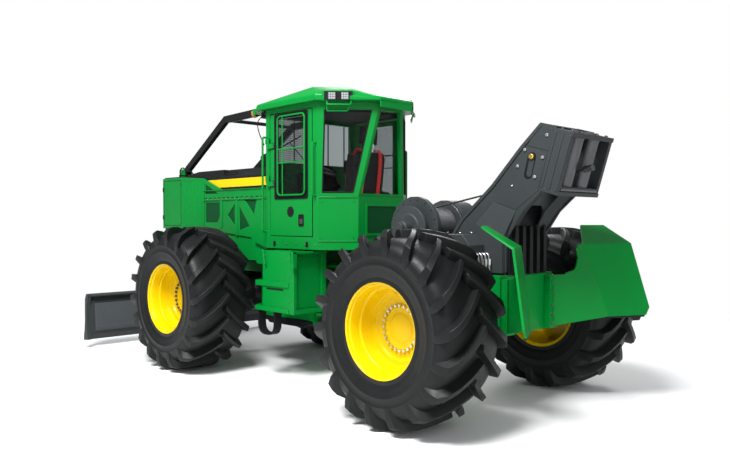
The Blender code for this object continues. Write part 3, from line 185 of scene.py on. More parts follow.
def piece(name, shape, body, finish, bevel=0.0, smooth_angle=35.0, look=None, shift=True, replaces=()):
    """Corner and face arrays become one object with a finish, riding on a body."""
    corners, faces = shape
    moved = corners + np.array([0.0, PIVOT_Y if shift else 0.0, 0.0])
    mesh = bpy.data.meshes.new(name)
    mesh.from_pydata(moved.tolist(), [], faces)
    work = bmesh.new()
    work.from_mesh(mesh)
    bmesh.ops.remove_doubles(work, verts=work.verts, dist=0.00001)
    bmesh.ops.recalc_face_normals(work, faces=work.faces)
    work.to_mesh(mesh)
    work.free()
    thing = bpy.data.objects.new(name, mesh)
    bpy.context.scene.collection.objects.link(thing)
    return dressed(thing, body, finish, bevel, smooth_angle, look, replaces)


def dressed(thing, body, finish, bevel, smooth_angle, look, replaces):
    """Bevel, smooth shading, material and body for a finished mesh."""
    mesh = thing.data
    mesh.materials.clear()
    mesh.materials.append(MATERIALS[look or finish])
    mesh.shade_smooth()
    mesh.set_sharp_from_angle(angle=math.radians(smooth_angle))
    if bevel:
        edge = thing.modifiers.new("edges", "BEVEL")
        edge.width = bevel
        edge.segments = 2
        edge.limit_method = "ANGLE"
        edge.angle_limit = math.radians(30)
        edge.harden_normals = False
    if replaces:
        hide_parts(*replaces)
    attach(thing, body)
    PIECES.append(thing.name)
    return thing


def body_of(node):
    """The body that a CAD node rides on."""
    return next(b for b, nodes in frame["record"]["behaviour"]["bodies"].items() if node in nodes)


def softened(node, finish, bevel=0.004, look=None, angle=25.0):
    """A copy of a CAD node, merged and with its flat faces joined, so its edges can be rounded."""
    source = frame["nodes"][node]
    work = bmesh.new()
    work.from_mesh(source.data)
    bmesh.ops.remove_doubles(work, verts=work.verts, dist=0.00002)
    bmesh.ops.dissolve_limit(work, angle_limit=math.radians(0.6), verts=work.verts, edges=work.edges)
    mesh = bpy.data.meshes.new(node + "_look")
    work.to_mesh(mesh)
    work.free()
    thing = bpy.data.objects.new(node + "_look", mesh)
    bpy.context.scene.collection.objects.link(thing)
    return dressed(thing, body_of(node), finish, bevel, angle, look, (node,))


def hex_heads(spots, way, size=0.012, height=0.009, sides=6):
    """Bolt heads: a short prism with a chamfered top, copied to each spot along one direction."""
    profile = np.array([(-0.3, 1.0), (0.7, 1.0), (1.0, 0.78)])
    t = np.linspace(0, 2 * np.pi, sides, endpoint=False)
    ring = np.stack([np.cos(t), np.sin(t)], -1)
    local = np.concatenate([profile[:, 1][:, None, None] * size * ring[None],
                            np.repeat((profile[:, 0] * height)[:, None, None], sides, 1)], -1)
    way = Vector(way).normalized()
    turn = np.array(way.to_track_quat("Z", "Y").to_matrix())
    turned = local @ turn.T
    return merged([grid(turned + np.array(spot, float)) for spot in spots])


def row(a, b, count):
    """Evenly spaced spots from a to b."""
    return np.linspace(np.array(a, float), np.array(b, float), count)


def screen(corner, u, v, pitch, wire):
    """A guard: thin square bars across u and across v, woven half a wire apart."""
    corner, u, v = (np.array(w, float) for w in (corner, u, v))
    width, height = np.linalg.norm(u), np.linalg.norm(v)
    normal = np.cross(u, v) / (width * height)
    shapes = []
    for along, across, length, lift in ((u, v, height, 0.5), (v, u, width, -0.5)):
        count = max(2, int(round(length / pitch)))
        way = across / np.linalg.norm(across)
        for share in (np.arange(count) + 0.5) / count:
            start = corner + across * share + normal * wire * lift
            square = np.array([(-1, -1), (1, -1), (1, 1), (-1, 1)]) * wire / 2
            ring = square[:, :1] * way + square[:, 1:] * normal
            shapes.append(grid(np.stack([start + ring, start + along + ring])))
    return merged(shapes)


print("piece helpers ready")

# %% [markdown]
# ## Finishes
# Machine enamel is a saturated colour under a clear gloss, never perfectly flat: broad soft patches shift
# its tone a little, and a fine ripple, called orange peel, breaks up the reflections. Satin black parts
# are rougher, moulded rubber is matt with a pebbled skin, and worn steel has fine scratches along it.
# One function gives all of them from noise on the object's own coordinates.

# %% One recipe for painted, moulded and metal finishes
def mixed(tree, factor, low, high, kind="RGBA"):
    """A blend of two constants by a 0 to 1 factor: low + factor * (high - low)."""
    mix = tree.nodes.new("ShaderNodeMix")
    mix.data_type = kind
    tree.links.new(factor, mix.inputs[0])
    first, second = (6, 7) if kind == "RGBA" else (2, 3)
    mix.inputs[first].default_value = low
    mix.inputs[second].default_value = high
    return mix.outputs[2 if kind == "RGBA" else 0]


def noise(tree, scale, detail=3.0, stretch=None):
    """Cloudy noise on object coordinates; stretch draws it out along an axis."""
    where = tree.nodes.new("ShaderNodeTexCoord").outputs["Object"]
    if stretch:
        mapping = tree.nodes.new("ShaderNodeMapping")
        mapping.inputs["Scale"].default_value = stretch
        tree.links.new(where, mapping.inputs["Vector"])
        where = mapping.outputs["Vector"]
    cloud = tree.nodes.new("ShaderNodeTexNoise")
    cloud.inputs["Scale"].default_value = scale
    cloud.inputs["Detail"].default_value = detail
    tree.links.new(where, cloud.inputs["Vector"])
    return cloud.outputs["Fac"]


def finish_of(name, colour, rough, metal=0.0, coat=0.0, tone=0.12, patch=2.5, grain=180.0,
              bump=0.04, spread=0.08, stretch=None, **sockets):
    """A Principled finish whose tone, roughness and bump each follow their own noise."""
    material = bpy.data.materials.new(name)
    material.use_nodes = True
    tree = material.node_tree
    shader = tree.nodes["Principled BSDF"]
    cloud = noise(tree, patch, 4.0, stretch)
    dark = tuple(c * (1 - tone) for c in colour) + (1.0,)
    light = tuple(min(1.0, c * (1 + tone)) for c in colour) + (1.0,)
    tree.links.new(mixed(tree, cloud, dark, light), shader.inputs["Base Color"])
    wear = noise(tree, patch * 5.0, 6.0, stretch)
    tree.links.new(mixed(tree, wear, max(0.02, rough - spread), rough + spread, "FLOAT"),
                   shader.inputs["Roughness"])
    ripple = tree.nodes.new("ShaderNodeBump")
    ripple.inputs["Strength"].default_value = bump
    ripple.inputs["Distance"].default_value = 0.002
    tree.links.new(noise(tree, grain, 2.0, stretch), ripple.inputs["Height"])
    tree.links.new(ripple.outputs["Normal"], shader.inputs["Normal"])
    shader.inputs["Metallic"].default_value = metal
    shader.inputs["Coat Weight"].default_value = coat
    shader.inputs["Coat Roughness"].default_value = 0.08
    for socket, value in sockets.items():
        shader.inputs[socket.replace("_", " ")].default_value = value
    MATERIALS[name] = material
    return material


DULL = {"Specular IOR Level": 0.12}
finish_of(GREEN, (0.0004, 0.178, 0.025), 0.34, coat=0.04, tone=0.08, bump=0.05, **DULL)
finish_of("shaded_green", (0.0005, 0.050, 0.012), 0.55, tone=0.15, **DULL)
finish_of(YELLOW, (0.66, 0.44, 0.001), 0.32, coat=0.08, tone=0.05, bump=0.04, **DULL)
finish_of(CHARCOAL, (0.025, 0.030, 0.031), 0.54, tone=0.18, patch=4.0, bump=0.03, grain=160.0,
          **{"Specular IOR Level": 0.25})
finish_of("light_charcoal", (0.052, 0.058, 0.062), 0.55, tone=0.12, patch=4.0, bump=0.03, grain=160.0,
          **DULL)
finish_of(BLACK, (0.007, 0.0075, 0.008), 0.42, coat=0.05, tone=0.2, patch=4.0, bump=0.06, **DULL)
finish_of(RUBBER, (0.0058, 0.0066, 0.0068), 0.46, tone=0.28, patch=6.0, bump=0.35, grain=140.0, spread=0.12,
          **{"Specular IOR Level": 0.20})
finish_of("soft_rubber", (0.006, 0.006, 0.007), 0.60, tone=0.2, bump=0.2, grain=220.0, **DULL)
finish_of(STEEL, (0.52, 0.53, 0.55), 0.34, metal=1.0, tone=0.15, patch=8.0, bump=0.12, grain=90.0,
          stretch=(1.0, 6.0, 6.0))
finish_of("rope_steel", (0.060, 0.062, 0.065), 0.5, metal=0.7, tone=0.35, patch=30.0, bump=0.3, grain=120.0)
finish_of("dark_steel", (0.10, 0.105, 0.11), 0.42, metal=0.8, tone=0.25, patch=8.0, bump=0.15)
finish_of(CHROME, (0.78, 0.78, 0.80), 0.10, metal=1.0, tone=0.03, spread=0.03, bump=0.01)
finish_of("zinc_gold", (0.75, 0.50, 0.14), 0.32, metal=1.0, tone=0.15, patch=20.0, bump=0.08)
finish_of("silver_nut", (0.60, 0.61, 0.62), 0.30, metal=1.0, tone=0.12, patch=30.0, bump=0.08)
finish_of(PLASTIC, (0.008, 0.008, 0.009), 0.55, tone=0.15, bump=0.25, grain=400.0, **DULL)
finish_of("grey_plastic", (0.22, 0.225, 0.23), 0.5, tone=0.08, bump=0.15, grain=300.0)
finish_of(CLOTH, (0.007, 0.007, 0.008), 0.92, tone=0.25, patch=14.0, bump=0.5, grain=520.0,
          **{"Sheen Weight": 0.1, "Specular IOR Level": 0.2})
finish_of("red_webbing", (0.80, 0.020, 0.012), 0.75, tone=0.15, patch=20.0, bump=0.4, grain=600.0)
finish_of("amber", (0.55, 0.12, 0.02), 0.3, tone=0.08, bump=0.05)
finish_of("lamp_lens", (0.16, 0.18, 0.19), 0.12, coat=0.3, tone=0.10, patch=60.0, bump=0.3, grain=60.0)
finish_of("headliner", (0.03, 0.03, 0.032), 0.85, tone=0.1, bump=0.3, grain=300.0)


def glass_of(name, tint):
    """Clear glazing: full transmission, a faint tint and a barely uneven surface."""
    return finish_of(name, tint, 0.03, tone=0.02, patch=1.5, grain=6.0, bump=0.01, spread=0.02,
                     Transmission_Weight=1.0, IOR=1.12, **DULL)


glass_of(GLASS, (0.82, 0.86, 0.85))
print(len(MATERIALS), "finishes")

# %% [markdown]
# ## Tyres
# A forestry tyre is a wide casing with eighteen heavy bars on each side. The bars of the two sides are
# half a step apart and slope back from the middle at about 45 degrees, so that mud is thrown outwards.
# The casing is a turned profile. Each bar is a short tapered beam whose foot follows the casing and whose
# top follows a second, larger profile, over the shoulder and a little way down the sidewall.

# %% The tyre casing and its bars
RIMS = {name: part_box("rim_" + name) for name in ("rear_left", "rear_right", "front_left", "front_right")}
TYRE_LOW, TYRE_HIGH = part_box("tyre_rear_left")
TOP_R = (TYRE_HIGH.z - TYRE_LOW.z) / 2
BARS = 18
CASING_SIDES, RIM_SIDES = 144, 96
CASING = [(0.334, 0.418), (0.349, 0.424), (0.350, 0.447), (0.343, 0.462), (0.352, 0.478), (0.366, 0.520),
          (0.372, 0.560), (0.3765, 0.566), (0.3765, 0.576), (0.374, 0.582), (0.375, 0.640), (0.3785, 0.646),
          (0.3785, 0.654), (0.374, 0.660), (0.368, 0.695), (0.356, 0.728), (0.332, 0.758), (0.292, 0.780),
          (0.215, 0.794), (0.110, 0.801), (0.0, 0.803)]


def turned(loop, sides):
    """A loop of (across, radius) turned once about the axle: (across, radius sin t, radius cos t)."""
    shape = np.array(loop)
    t = np.linspace(0, 2 * np.pi, sides, endpoint=False)
    return np.stack([np.repeat(shape[:, :1], sides, 1), shape[:, 1:] * np.sin(t), shape[:, 1:] * np.cos(t)],
                    -1)


def bar_shape(side, turn):
    """One bar: foot and top are both curves of (across, radius), joined round four corners.

    The bar's angle about the axle falls with the distance walked outwards, which gives the slope.
    """
    foot = np.array([(-0.030, 0.785), (0.100, 0.782), (0.200, 0.775), (0.285, 0.758), (0.328, 0.728),
                     (0.348, 0.690), (0.356, 0.630)])
    top = np.array([(-0.020, 0.8775), (0.100, 0.8795), (0.205, 0.8765), (0.315, 0.862), (0.3775, 0.822),
                    (0.3868, 0.745), (0.3800, 0.655)])
    lag = np.array([0.0, 0.125, 0.225, 0.315, 0.372, 0.400, 0.420])
    wide = np.array([0.046, 0.047, 0.048, 0.053, 0.060, 0.064, 0.058])
    narrow = wide * np.array([0.60, 0.60, 0.60, 0.60, 0.60, 0.58, 0.45])
    angle = turn - lag
    corners = []
    for curve, half in ((foot, -wide), (top, -narrow), (top, narrow), (foot, wide)):
        t = angle + half / curve[:, 1]
        corners.append(np.stack([side * curve[:, 0], curve[:, 1] * np.cos(t), curve[:, 1] * np.sin(t)],
                                -1))
    return grid(np.stack(corners, 1))


def tyre_shape(centre):
    """The casing turned once round, and both rows of bars."""
    loop = CASING + [(-a, r) for a, r in reversed(CASING[:-1])]
    shapes = [grid(turned(loop, CASING_SIDES), wrap_u=True)]
    step = 2 * math.pi / BARS
    for side, offset in ((1, 0.25), (-1, 0.75)):
        shapes += [bar_shape(side, (k + offset) * step) for k in range(BARS)]
    corners, faces = merged(shapes)
    return corners + np.array(centre), faces


for name in RIMS:
    hub = JOINTS["wheel_" + name]["pos_m"]
    piece("tread_" + name, tyre_shape(hub), "wheel_" + name, RUBBER, bevel=0.006, shift=False,
          replaces=("tyre_" + name,), smooth_angle=38.0)
print(4 * 2 * BARS, "bars on four tyres, top radius", TOP_R)

# %% [markdown]
# ## Rims
# The rim is a dished steel wheel: a rolled lip, a wide drop centre, and a centre disc set deep inside.
# The dish is a turned profile with the rolled steps that stiffen the real one. A ring of small nuts holds
# it to the hub, so the nuts are copied round the axle on one circle.

# %% Dished rims, nuts and hub covers
NUTS = 24


def rim_shape(hub, side):
    """Outer face and back of the rim as one closed turned profile, mirrored by side."""
    profile = [(0.0655, 0.0), (0.0655, 0.118), (0.0645, 0.126), (0.0620, 0.131), (0.062, 0.140),
               (0.062, 0.262), (0.066, 0.274), (0.088, 0.290), (0.090, 0.300), (0.090, 0.322), (0.094, 0.332),
               (0.128, 0.346), (0.150, 0.352), (0.206, 0.356), (0.214, 0.362), (0.218, 0.376),
               (0.300, 0.384), (0.312, 0.390), (0.318, 0.402), (0.332, 0.408), (0.340, 0.414), (0.346, 0.424),
               (0.3495, 0.4365), (0.342, 0.4370), (0.335, 0.4365), (0.334, 0.405), (-0.334, 0.405),
               (-0.335, 0.4365), (-0.3495, 0.4365), (-0.346, 0.424), (-0.325, 0.392), (0.020, 0.382),
               (0.0285, 0.300), (0.033, 0.200), (0.033, 0.0)]
    return lathe([(side * a, r) for a, r in profile], "X", hub, RIM_SIDES)


for name in RIMS:
    hub = np.array(JOINTS["wheel_" + name]["pos_m"])
    side = 1 if hub[0] > 0 else -1
    wheel = "wheel_" + name
    piece("dish_" + name, rim_shape(hub, side), wheel, YELLOW, shift=False, replaces=("rim_" + name,),
          smooth_angle=32.0)
    t = np.arange(NUTS) * 2 * np.pi / NUTS
    spots = hub + np.stack([np.full(NUTS, side * 0.064), 0.200 * np.sin(t), 0.200 * np.cos(t)], -1)
    look = "silver_nut" if "rear" in name else "dark_steel"
    piece("nuts_" + name, hex_heads(spots, (side, 0, 0), 0.0175, 0.024), wheel, STEEL, look=look,
          shift=False, bevel=0.001)
    washer = [(side * a, r) for a, r in ((0.0622, 0.183), (0.0665, 0.184), (0.0665, 0.216), (0.0622, 0.217))]
    piece("nut_ring_" + name, grid(turned(washer, RIM_SIDES) + hub, wrap_u=True), wheel, YELLOW, shift=False)
    valve = tube([hub + np.array([side * 0.090, 0.0, 0.310]), hub + np.array([side * 0.120, 0.0, 0.316]),
                  hub + np.array([side * 0.150, 0.0, 0.322])], np.array([0.008, 0.006, 0.004]), 10, (0, 1, 0))
    piece("valve_" + name, valve, wheel, **ZINC, shift=False)
print(NUTS, "nuts a wheel")

# %% [markdown]
# ## Painted plates
# Frames, cab shells, plates and castings already have their true shape, so each is copied, its flat
# faces are joined, and its edges are rounded by a few millimetres. A rounded edge catches a thin line
# of light, which is what makes sheet metal look like metal.

# %% Rounded copies of the frame's plates
PLATES = {
    GREEN: ["rear_frame", "front_frame", "grille", "engine_side_left", "engine_side_right", "cab_lower",
            "cab_frame", "cab_roof", "cab_door_left", "cab_door_right", "step_box_left", "step_box_right",
            "log_guard_left", "log_guard_right"],
    CHARCOAL: ["arch", "winch_housing", "fairlead_frame", "blade_arms", "valve_box"],
    BLACK: ["rear_axle", "front_axle", "engine_block", "belly_guard", "hood", "butt_plate",
            "limb_riser_left", "limb_riser_right", "steer_left_barrel", "steer_right_barrel",
            "lift_left_barrel", "lift_right_barrel"],
    CHROME: ["steer_left_rod", "steer_right_rod", "lift_left_rod", "lift_right_rod"],
    PLASTIC: ["control_console", "dashboard"],
}
BEVELS = {"cab_roof": 0.014, "arch": 0.007, "blade": 0.006, "hood": 0.016, "control_console": 0.018,
          "dashboard": 0.016, "limb_riser_left": 0.010, "limb_riser_right": 0.010, "cab_lower": 0.005,
          "step_box_left": 0.006, "step_box_right": 0.006}
for finish, nodes in PLATES.items():
    for node in nodes:
        small = node.endswith("_rod") or node.endswith("_barrel")
        softened(node, finish, BEVELS.get(node, 0.002 if small else 0.004),
                 angle=40.0 if small or node.endswith("axle") else 25.0)
for node in ("winch_drum", "fairlead_roller_left", "fairlead_roller_right"):
    softened(node, STEEL, 0.003, look="dark_steel", angle=40.0)
for node in ("windshield", "rear_window", "door_glass_left", "door_glass_right"):
    thing = frame["nodes"][node]
    thing.data.materials.clear()
    thing.data.materials.append(MATERIALS[GLASS])
print("plates done,", len(PIECES), "pieces so far")

# %% [markdown]
# ## Doors
# Each door carries a pane in a black rubber gasket, a tubular guard frame with rounded corners standing
# off the glass, bars across it and a fine wire screen behind the bars. The lower part holds a recessed
# latch. The whole guard turns with the door, so all of it rides on the door's body.

# %% Door gasket, tube guard, screen and latch
DOOR_Y = (-0.735, -0.150)
DOOR_Z = (2.100, 3.030)


def frame_outline(y0, y1, z0, z1, radius, steps=6):
    """A rounded rectangle as (Y, Z) points: four quarter circles joined by straight sides."""
    t = np.linspace(0, np.pi / 2, steps)
    quarters = []
    for k, (cy, cz) in enumerate(((y1 - radius, z1 - radius), (y0 + radius, z1 - radius),
                                  (y0 + radius, z0 + radius), (y1 - radius, z0 + radius))):
        a = t + k * np.pi / 2
        quarters.append(np.stack([cy + radius * np.cos(a), cz + radius * np.sin(a)], -1))
    return np.concatenate(quarters)


def ring_plate(outer, inner, x0, x1):
    """A flat frame between two outlines of as many points: a square section carried round."""
    a, b = np.array(outer), np.array(inner)
    ring = [place(a[:, 0], a[:, 1], x0, "X"), place(a[:, 0], a[:, 1], x1, "X"),
            place(b[:, 0], b[:, 1], x1, "X"), place(b[:, 0], b[:, 1], x0, "X")]
    return grid(np.stack(ring), wrap_u=True)


def loop_tube(outline, x, radius, sides=8):
    """A closed round bar along an outline at one X: ring angle t gives out * cos t + X * sin t."""
    path = np.array(outline)
    along = np.roll(path, -1, 0) - np.roll(path, 1, 0)
    along /= np.linalg.norm(along, axis=1, keepdims=True)
    out = np.stack([along[:, 1], -along[:, 0]], -1)
    t = np.linspace(0, 2 * np.pi, sides, endpoint=False)
    cross = path[:, None] + radius * np.cos(t)[None, :, None] * out[:, None]
    xs = np.broadcast_to(x + radius * np.sin(t), cross.shape[:2])
    return grid(np.concatenate([xs[..., None], cross], -1), wrap_u=True)


def both_sides(name, shape, body, finish, **more):
    """The same piece on both sides of the machine; {} in a name or body takes left or right.

    The shape is used as it is for the left, and flipped() mirrors it for the right.
    """
    piece(name.format("left"), shape, body.format("left"), finish, **more)
    piece(name.format("right"), flipped(shape), body.format("right"), finish, **more)


y0, y1 = DOOR_Y
z0, z1 = DOOR_Z
gasket = ring_plate(frame_outline(y0 - 0.027, y1 + 0.010, z0 - 0.020, z1 + 0.055, 0.030),
                    frame_outline(y0 + 0.030, y1 - 0.032, z0 + 0.030, z1 + 0.000, 0.025), 0.700, 0.7275)
both_sides("door_gasket_{}", gasket, "door_{}", **SEAL, bevel=0.003)
guard_x = 0.744
gy0, gy1, gz0, gz1 = y0 + 0.060, y1 - 0.026, z0 + 0.028, z1 + 0.020
guard = [loop_tube(frame_outline(gy0, gy1, gz0, gz1, 0.055), guard_x, 0.0110)]
bar_y = gy0 + 0.095
guard.append(tube([(guard_x, bar_y, gz0), (guard_x, bar_y, gz1)], 0.008, 8, (0, 1, 0)))
for z in (2.665, 2.505):
    guard.append(tube([(guard_x, gy0, z), (guard_x, gy1, z)], 0.009, 8))
for y in (gy0 + 0.06, gy1 - 0.06):
    for z in (gz0, gz1):
        guard.append(tube([(0.722, y, z), (guard_x, y, z)], 0.008, 8))
both_sides("door_guard_{}", merged(guard), "door_{}", GREEN)
mesh_shape = screen((0.731, y0 + 0.004, z0 + 0.004), (0, y1 - y0 - 0.008, 0), (0, 0, z1 - z0 - 0.008),
                    0.0215, 0.0034)
both_sides("door_screen_{}", mesh_shape, "door_{}", GREEN, look=BLACK, smooth_angle=20)
recess = ring_plate(frame_outline(-0.312, -0.216, 1.765, 1.903, 0.018),
                    frame_outline(-0.302, -0.226, 1.775, 1.893, 0.014), 0.7195, 0.726)
pull = block(0.7195, 0.7275, -0.290, -0.240, 1.795, 1.850)
both_sides("latch_frame_{}", recess, "door_{}", PLASTIC, bevel=0.001)
both_sides("latch_pull_{}", pull, "door_{}", PLASTIC, look="dark_steel", bevel=0.003)
both_sides("latch_back_{}", block(0.7192, 0.7206, -0.306, -0.222, 1.771, 1.897), "door_{}", PLASTIC)
seam = ring_plate(frame_outline(-0.8490, -0.0660, 1.6510, 3.0940, 0.006, 2),
                  frame_outline(-0.8440, -0.0710, 1.6560, 3.0890, 0.006, 2), 0.700, 0.7204)
both_sides("door_seal_{}", seam, "door_{}", **SEAL)
HINGE_Z = (2.300, 2.750)
straps = merged([block(0.7203, 0.7262, -0.846, -0.752, z - 0.066, z + 0.006) for z in HINGE_Z])
both_sides("hinge_strap_{}", straps, "door_{}", BLACK, bevel=0.002)
spots = [(0.7262, y, z + dz) for z in HINGE_Z for y in (-0.815, -0.772) for dz in (-0.048, -0.012)]
both_sides("hinge_bolts_{}", hex_heads(spots, (1, 0, 0), 0.007, 0.005), "door_{}", **DARK)
disc = lathe([(0.7205, 0.0), (0.7205, 0.062), (0.7225, 0.062), (0.7235, 0.056), (0.7235, 0.0)], "X",
             (0, -0.46, 1.935), 40)
both_sides("door_disc_{}", disc, "door_{}", BLACK)
print("doors done")

# %% [markdown]
# ## Cab shell
# The cab is a welded box of posts and flanged panels. Small hex heads hold its lower corner panels, black
# gaskets hold the corner panes, and round grab rails stand beside both doors. The back wall
# has a shallow service cover.

# %% Corner panes, seams, bolts and rails
CAB_HALF, CORNER_Y = 0.720, 0.020
SILL, CAB_TOP = 2.104, 3.154
BACK_LOW, BACK_TOP = (0.370, 0.315), (0.185, 0.470)


def corner_point(share, z, out=0.0):
    """A point of the cut corner: share 0 at the side, 1 at the rear post, moved out along its normal."""
    rise = max(0.0, (z - SILL) / (CAB_TOP - SILL))
    bx = BACK_LOW[0] + (BACK_TOP[0] - BACK_LOW[0]) * rise
    by = BACK_LOW[1] + (BACK_TOP[1] - BACK_LOW[1]) * rise
    way = np.array([by - CORNER_Y, CAB_HALF - bx])
    way /= np.linalg.norm(way)
    return np.array([CAB_HALF + (bx - CAB_HALF) * share + way[0] * out,
                     CORNER_Y + (by - CORNER_Y) * share + way[1] * out, z])


def corner_frame(share_low, share_top, z_low, z_top, out, radius):
    """A closed round bar through four corners of the cut corner's plane."""
    loop = [corner_point(share_low[0], z_low, out), corner_point(share_low[1], z_low, out),
            corner_point(share_top[1], z_top, out), corner_point(share_top[0], z_top, out)]
    loop = loop + [loop[0]]
    return merged([tube([a, b], radius, 8, (0.3, 0.5, 0.8)) for a, b in zip(loop, loop[1:])])


pane_edge = corner_frame((0.120, 0.850), (0.120, 0.890), SILL + 0.045, CAB_TOP - 0.095, -0.004, 0.010)
both_sides("corner_gasket_{}", pane_edge, "front", **SEAL)
spots = np.array([corner_point(s, z, 0.0) for s in (0.10, 0.88) for z in (1.640, 2.045)])
way = corner_point(0.5, 1.8, 1.0) - corner_point(0.5, 1.8, 0.0)
left = hex_heads(spots, way, 0.010, 0.008)
both_sides("corner_bolts_{}", left, "front", GREEN)
seams = []
for z, out in ((1.600, 0.004), (SILL - 0.012, 0.004)):
    seams.append(tube([corner_point(0.02, z, out), corner_point(0.98, z, out)], 0.006, 6))
both_sides("corner_seams_{}", merged(seams), "front", GREEN)
rails = []
for y, x, z_low, z_high in ((-0.925, 0.775, 1.700, 2.830), (-0.006, 0.770, 2.110, 2.700)):
    rails.append(tube(bent([(0.715, y, z_low), (x, y, z_low), (x, y, z_high), (0.715, y, z_high)], 0.045),
                      0.0125, 10, (0, 1, 0)))
both_sides("grab_rails_{}", merged(rails), "front", GREEN)
cover = ring_plate(frame_outline(-0.26, 0.26, 1.66, 2.02, 0.02),
                   frame_outline(-0.235, 0.235, 1.685, 1.995, 0.016), 0, 0.010)
turned_cover = (cover[0][:, [1, 0, 2]] + np.array([0, 0.3155, 0]), cover[1])
piece("rear_cover_rim", turned_cover, "front", GREEN, bevel=0.002)
piece("rear_cover", block(-0.236, 0.236, 0.3155, 0.3185, 1.684, 1.996), "front", GREEN, look="shaded_green")
skirt_spots = row((CAB_HALF, -0.88, 1.560), (CAB_HALF, -0.02, 1.560), 6)
both_sides("skirt_bolts_{}", hex_heads(skirt_spots, (1, 0, 0), 0.010, 0.007), "front", **DARK)
latches = merged([block(0.7203, 0.733, y - 0.018, y + 0.018, 1.535, 1.590) for y in (-0.76, -0.16)])
both_sides("skirt_latches_{}", latches, "front", BLACK, bevel=0.004)
print("cab shell done")

# %% [markdown]
# ## Roof, work lights and visor
# The roof is a thick pressed cap with cut rear corners. Each rear corner holds a box with two square work
# lights whose lenses are grids of small diodes. A tube loop guards them, and a thin visor closes the back.

# %% Lamps and roof trim
def lamp_shapes(centre, way, size):
    """A square housing, its lens and the raised diode blocks, built flat and turned to face way."""
    half = size / 2
    inner = half * 0.84
    housing = ring_plate(frame_outline(-half, half, -half, half, 0.008),
                         frame_outline(-inner, inner, -inner, inner, 0.006), -0.050, 0.006)
    lens = block(-0.050, -0.002, -half * 0.86, half * 0.86, -half * 0.86, half * 0.86)
    spots = (np.arange(3) - 1) * half * 0.52
    diodes = merged([block(-0.003, 0.003, a - 0.009, a + 0.009, b - 0.009, b + 0.009)
                     for a in spots for b in spots])
    x = np.array(way, float) / np.linalg.norm(way)
    y = np.cross((0, 0, 1), x)
    y /= np.linalg.norm(y)
    turn = np.stack([x, y, np.cross(x, y)])
    return [(shape[0] @ turn + np.array(centre, float), shape[1]) for shape in (housing, lens, diodes)]


LAMPS = {"corner_a": ((0.664, 0.199, 3.205), (0.66, 0.75, 0)),
         "corner_b": ((0.556, 0.294, 3.205), (0.66, 0.75, 0)),
         "front_a": ((0.440, -1.345, 3.185), (0.05, -1.0, -0.05)),
         "front_b": ((0.300, -1.345, 3.185), (0.05, -1.0, -0.05))}
LAMP_LOOKS = {"housing": BLACK, "lens": "lamp_lens", "diodes": "silver_nut"}
for name, (centre, way) in LAMPS.items():
    for (label, look), shape in zip(LAMP_LOOKS.items(), lamp_shapes(centre, way, 0.098)):
        both_sides("lamp_" + name + "_" + label + "_{}", shape, "front", PLASTIC, look=look,
                   bevel=0.002 if label == "housing" else 0.0)
hood_box = prism([(0.738, 0.118), (0.466, 0.356), (0.390, 0.262), (0.670, 0.030)], "Z", 3.152, 3.266)
both_sides("lamp_box_{}", hood_box, "front", GREEN, bevel=0.006)
black_panel = prism([(0.722, 0.137), (0.484, 0.345), (0.480, 0.340), (0.718, 0.132)], "Z", 3.154, 3.257)
both_sides("lamp_panel_{}", black_panel, "front", PLASTIC, bevel=0.002)
upper = bent([(0.690, 0.150, 3.150), (0.720, 0.178, 3.105), (0.520, 0.352, 3.105),
              (0.490, 0.325, 3.150)], 0.02)
lower = bent([(0.700, 0.160, 3.110), (0.690, 0.150, 3.040), (0.520, 0.300, 3.040),
              (0.520, 0.340, 3.105)], 0.02)
both_sides("lamp_guard_{}", merged([tube(upper, 0.009, 8), tube(lower, 0.009, 8, (0.4, 0.5, 0.3))]),
           "front", GREEN)
visor = prism([(0.262, 0.548), (0.255, 0.556), (-0.255, 0.556), (-0.262, 0.548)], "Z", 3.085, 3.158)
piece("rear_visor", visor, "front", GREEN, bevel=0.003)
drip = tube(bent([(0.795, -1.015, 3.163), (0.795, 0.058, 3.163)], 0.02), 0.007, 8)
both_sides("roof_drip_{}", drip, "front", GREEN)
box_shape = block(0.560, 0.700, -1.060, -0.945, 3.075, 3.150)
piece("mirror_box", box_shape, "front", BLACK, bevel=0.008)
wire = flowing([(0.70, -1.00, 3.12), (0.775, -1.02, 3.02), (0.785, -0.985, 2.90), (0.765, -0.95, 2.80),
                (0.735, -0.945, 2.74)], 30)
piece("mirror_lead", tube(wire, 0.006, 8, (0, 1, 0)), "front", **SEAL)
print("roof done")

# %% [markdown]
# ## Engine enclosure
# The side panels are pressed plates with truss-shaped openings, each backed by a plate in a dark green that
# paints the shade inside the opening. Louvre ribs cool the radiator end, a row of small bolts runs along the
# belt, and a yellow stripe with a pointed front end runs back to the cab. The black cover above has two
# recessed slots, and branch risers rise from its front.

# %% Ribs, stripe, openings, bolts and slots
SIDE_X = 0.680


def polygon_plate(outline, x0, x1, share=1.0):
    """A flat plate from a (Y, Z) outline, pulled in towards its middle by share."""
    ring = np.array(outline, float)
    ring = ring.mean(0) + (ring - ring.mean(0)) * share
    return prism(ring, "X", x0, x1)


def ribbed(y0, y1, z0, z1, x, depth, ribs):
    """Vertical ribs: out = depth * half wave of |sin|, one wave a rib, closed by a flat back."""
    y = np.linspace(y0, y1, ribs * 8 + 1)
    wave = x + depth * np.abs(np.sin(np.linspace(0, ribs * np.pi, len(y)))) ** 0.7
    front = np.stack([wave, y], -1)
    back = np.array([(x - 0.004, y1), (x - 0.004, y0)])
    return prism(np.concatenate([front, back]), "Z", z0, z1)


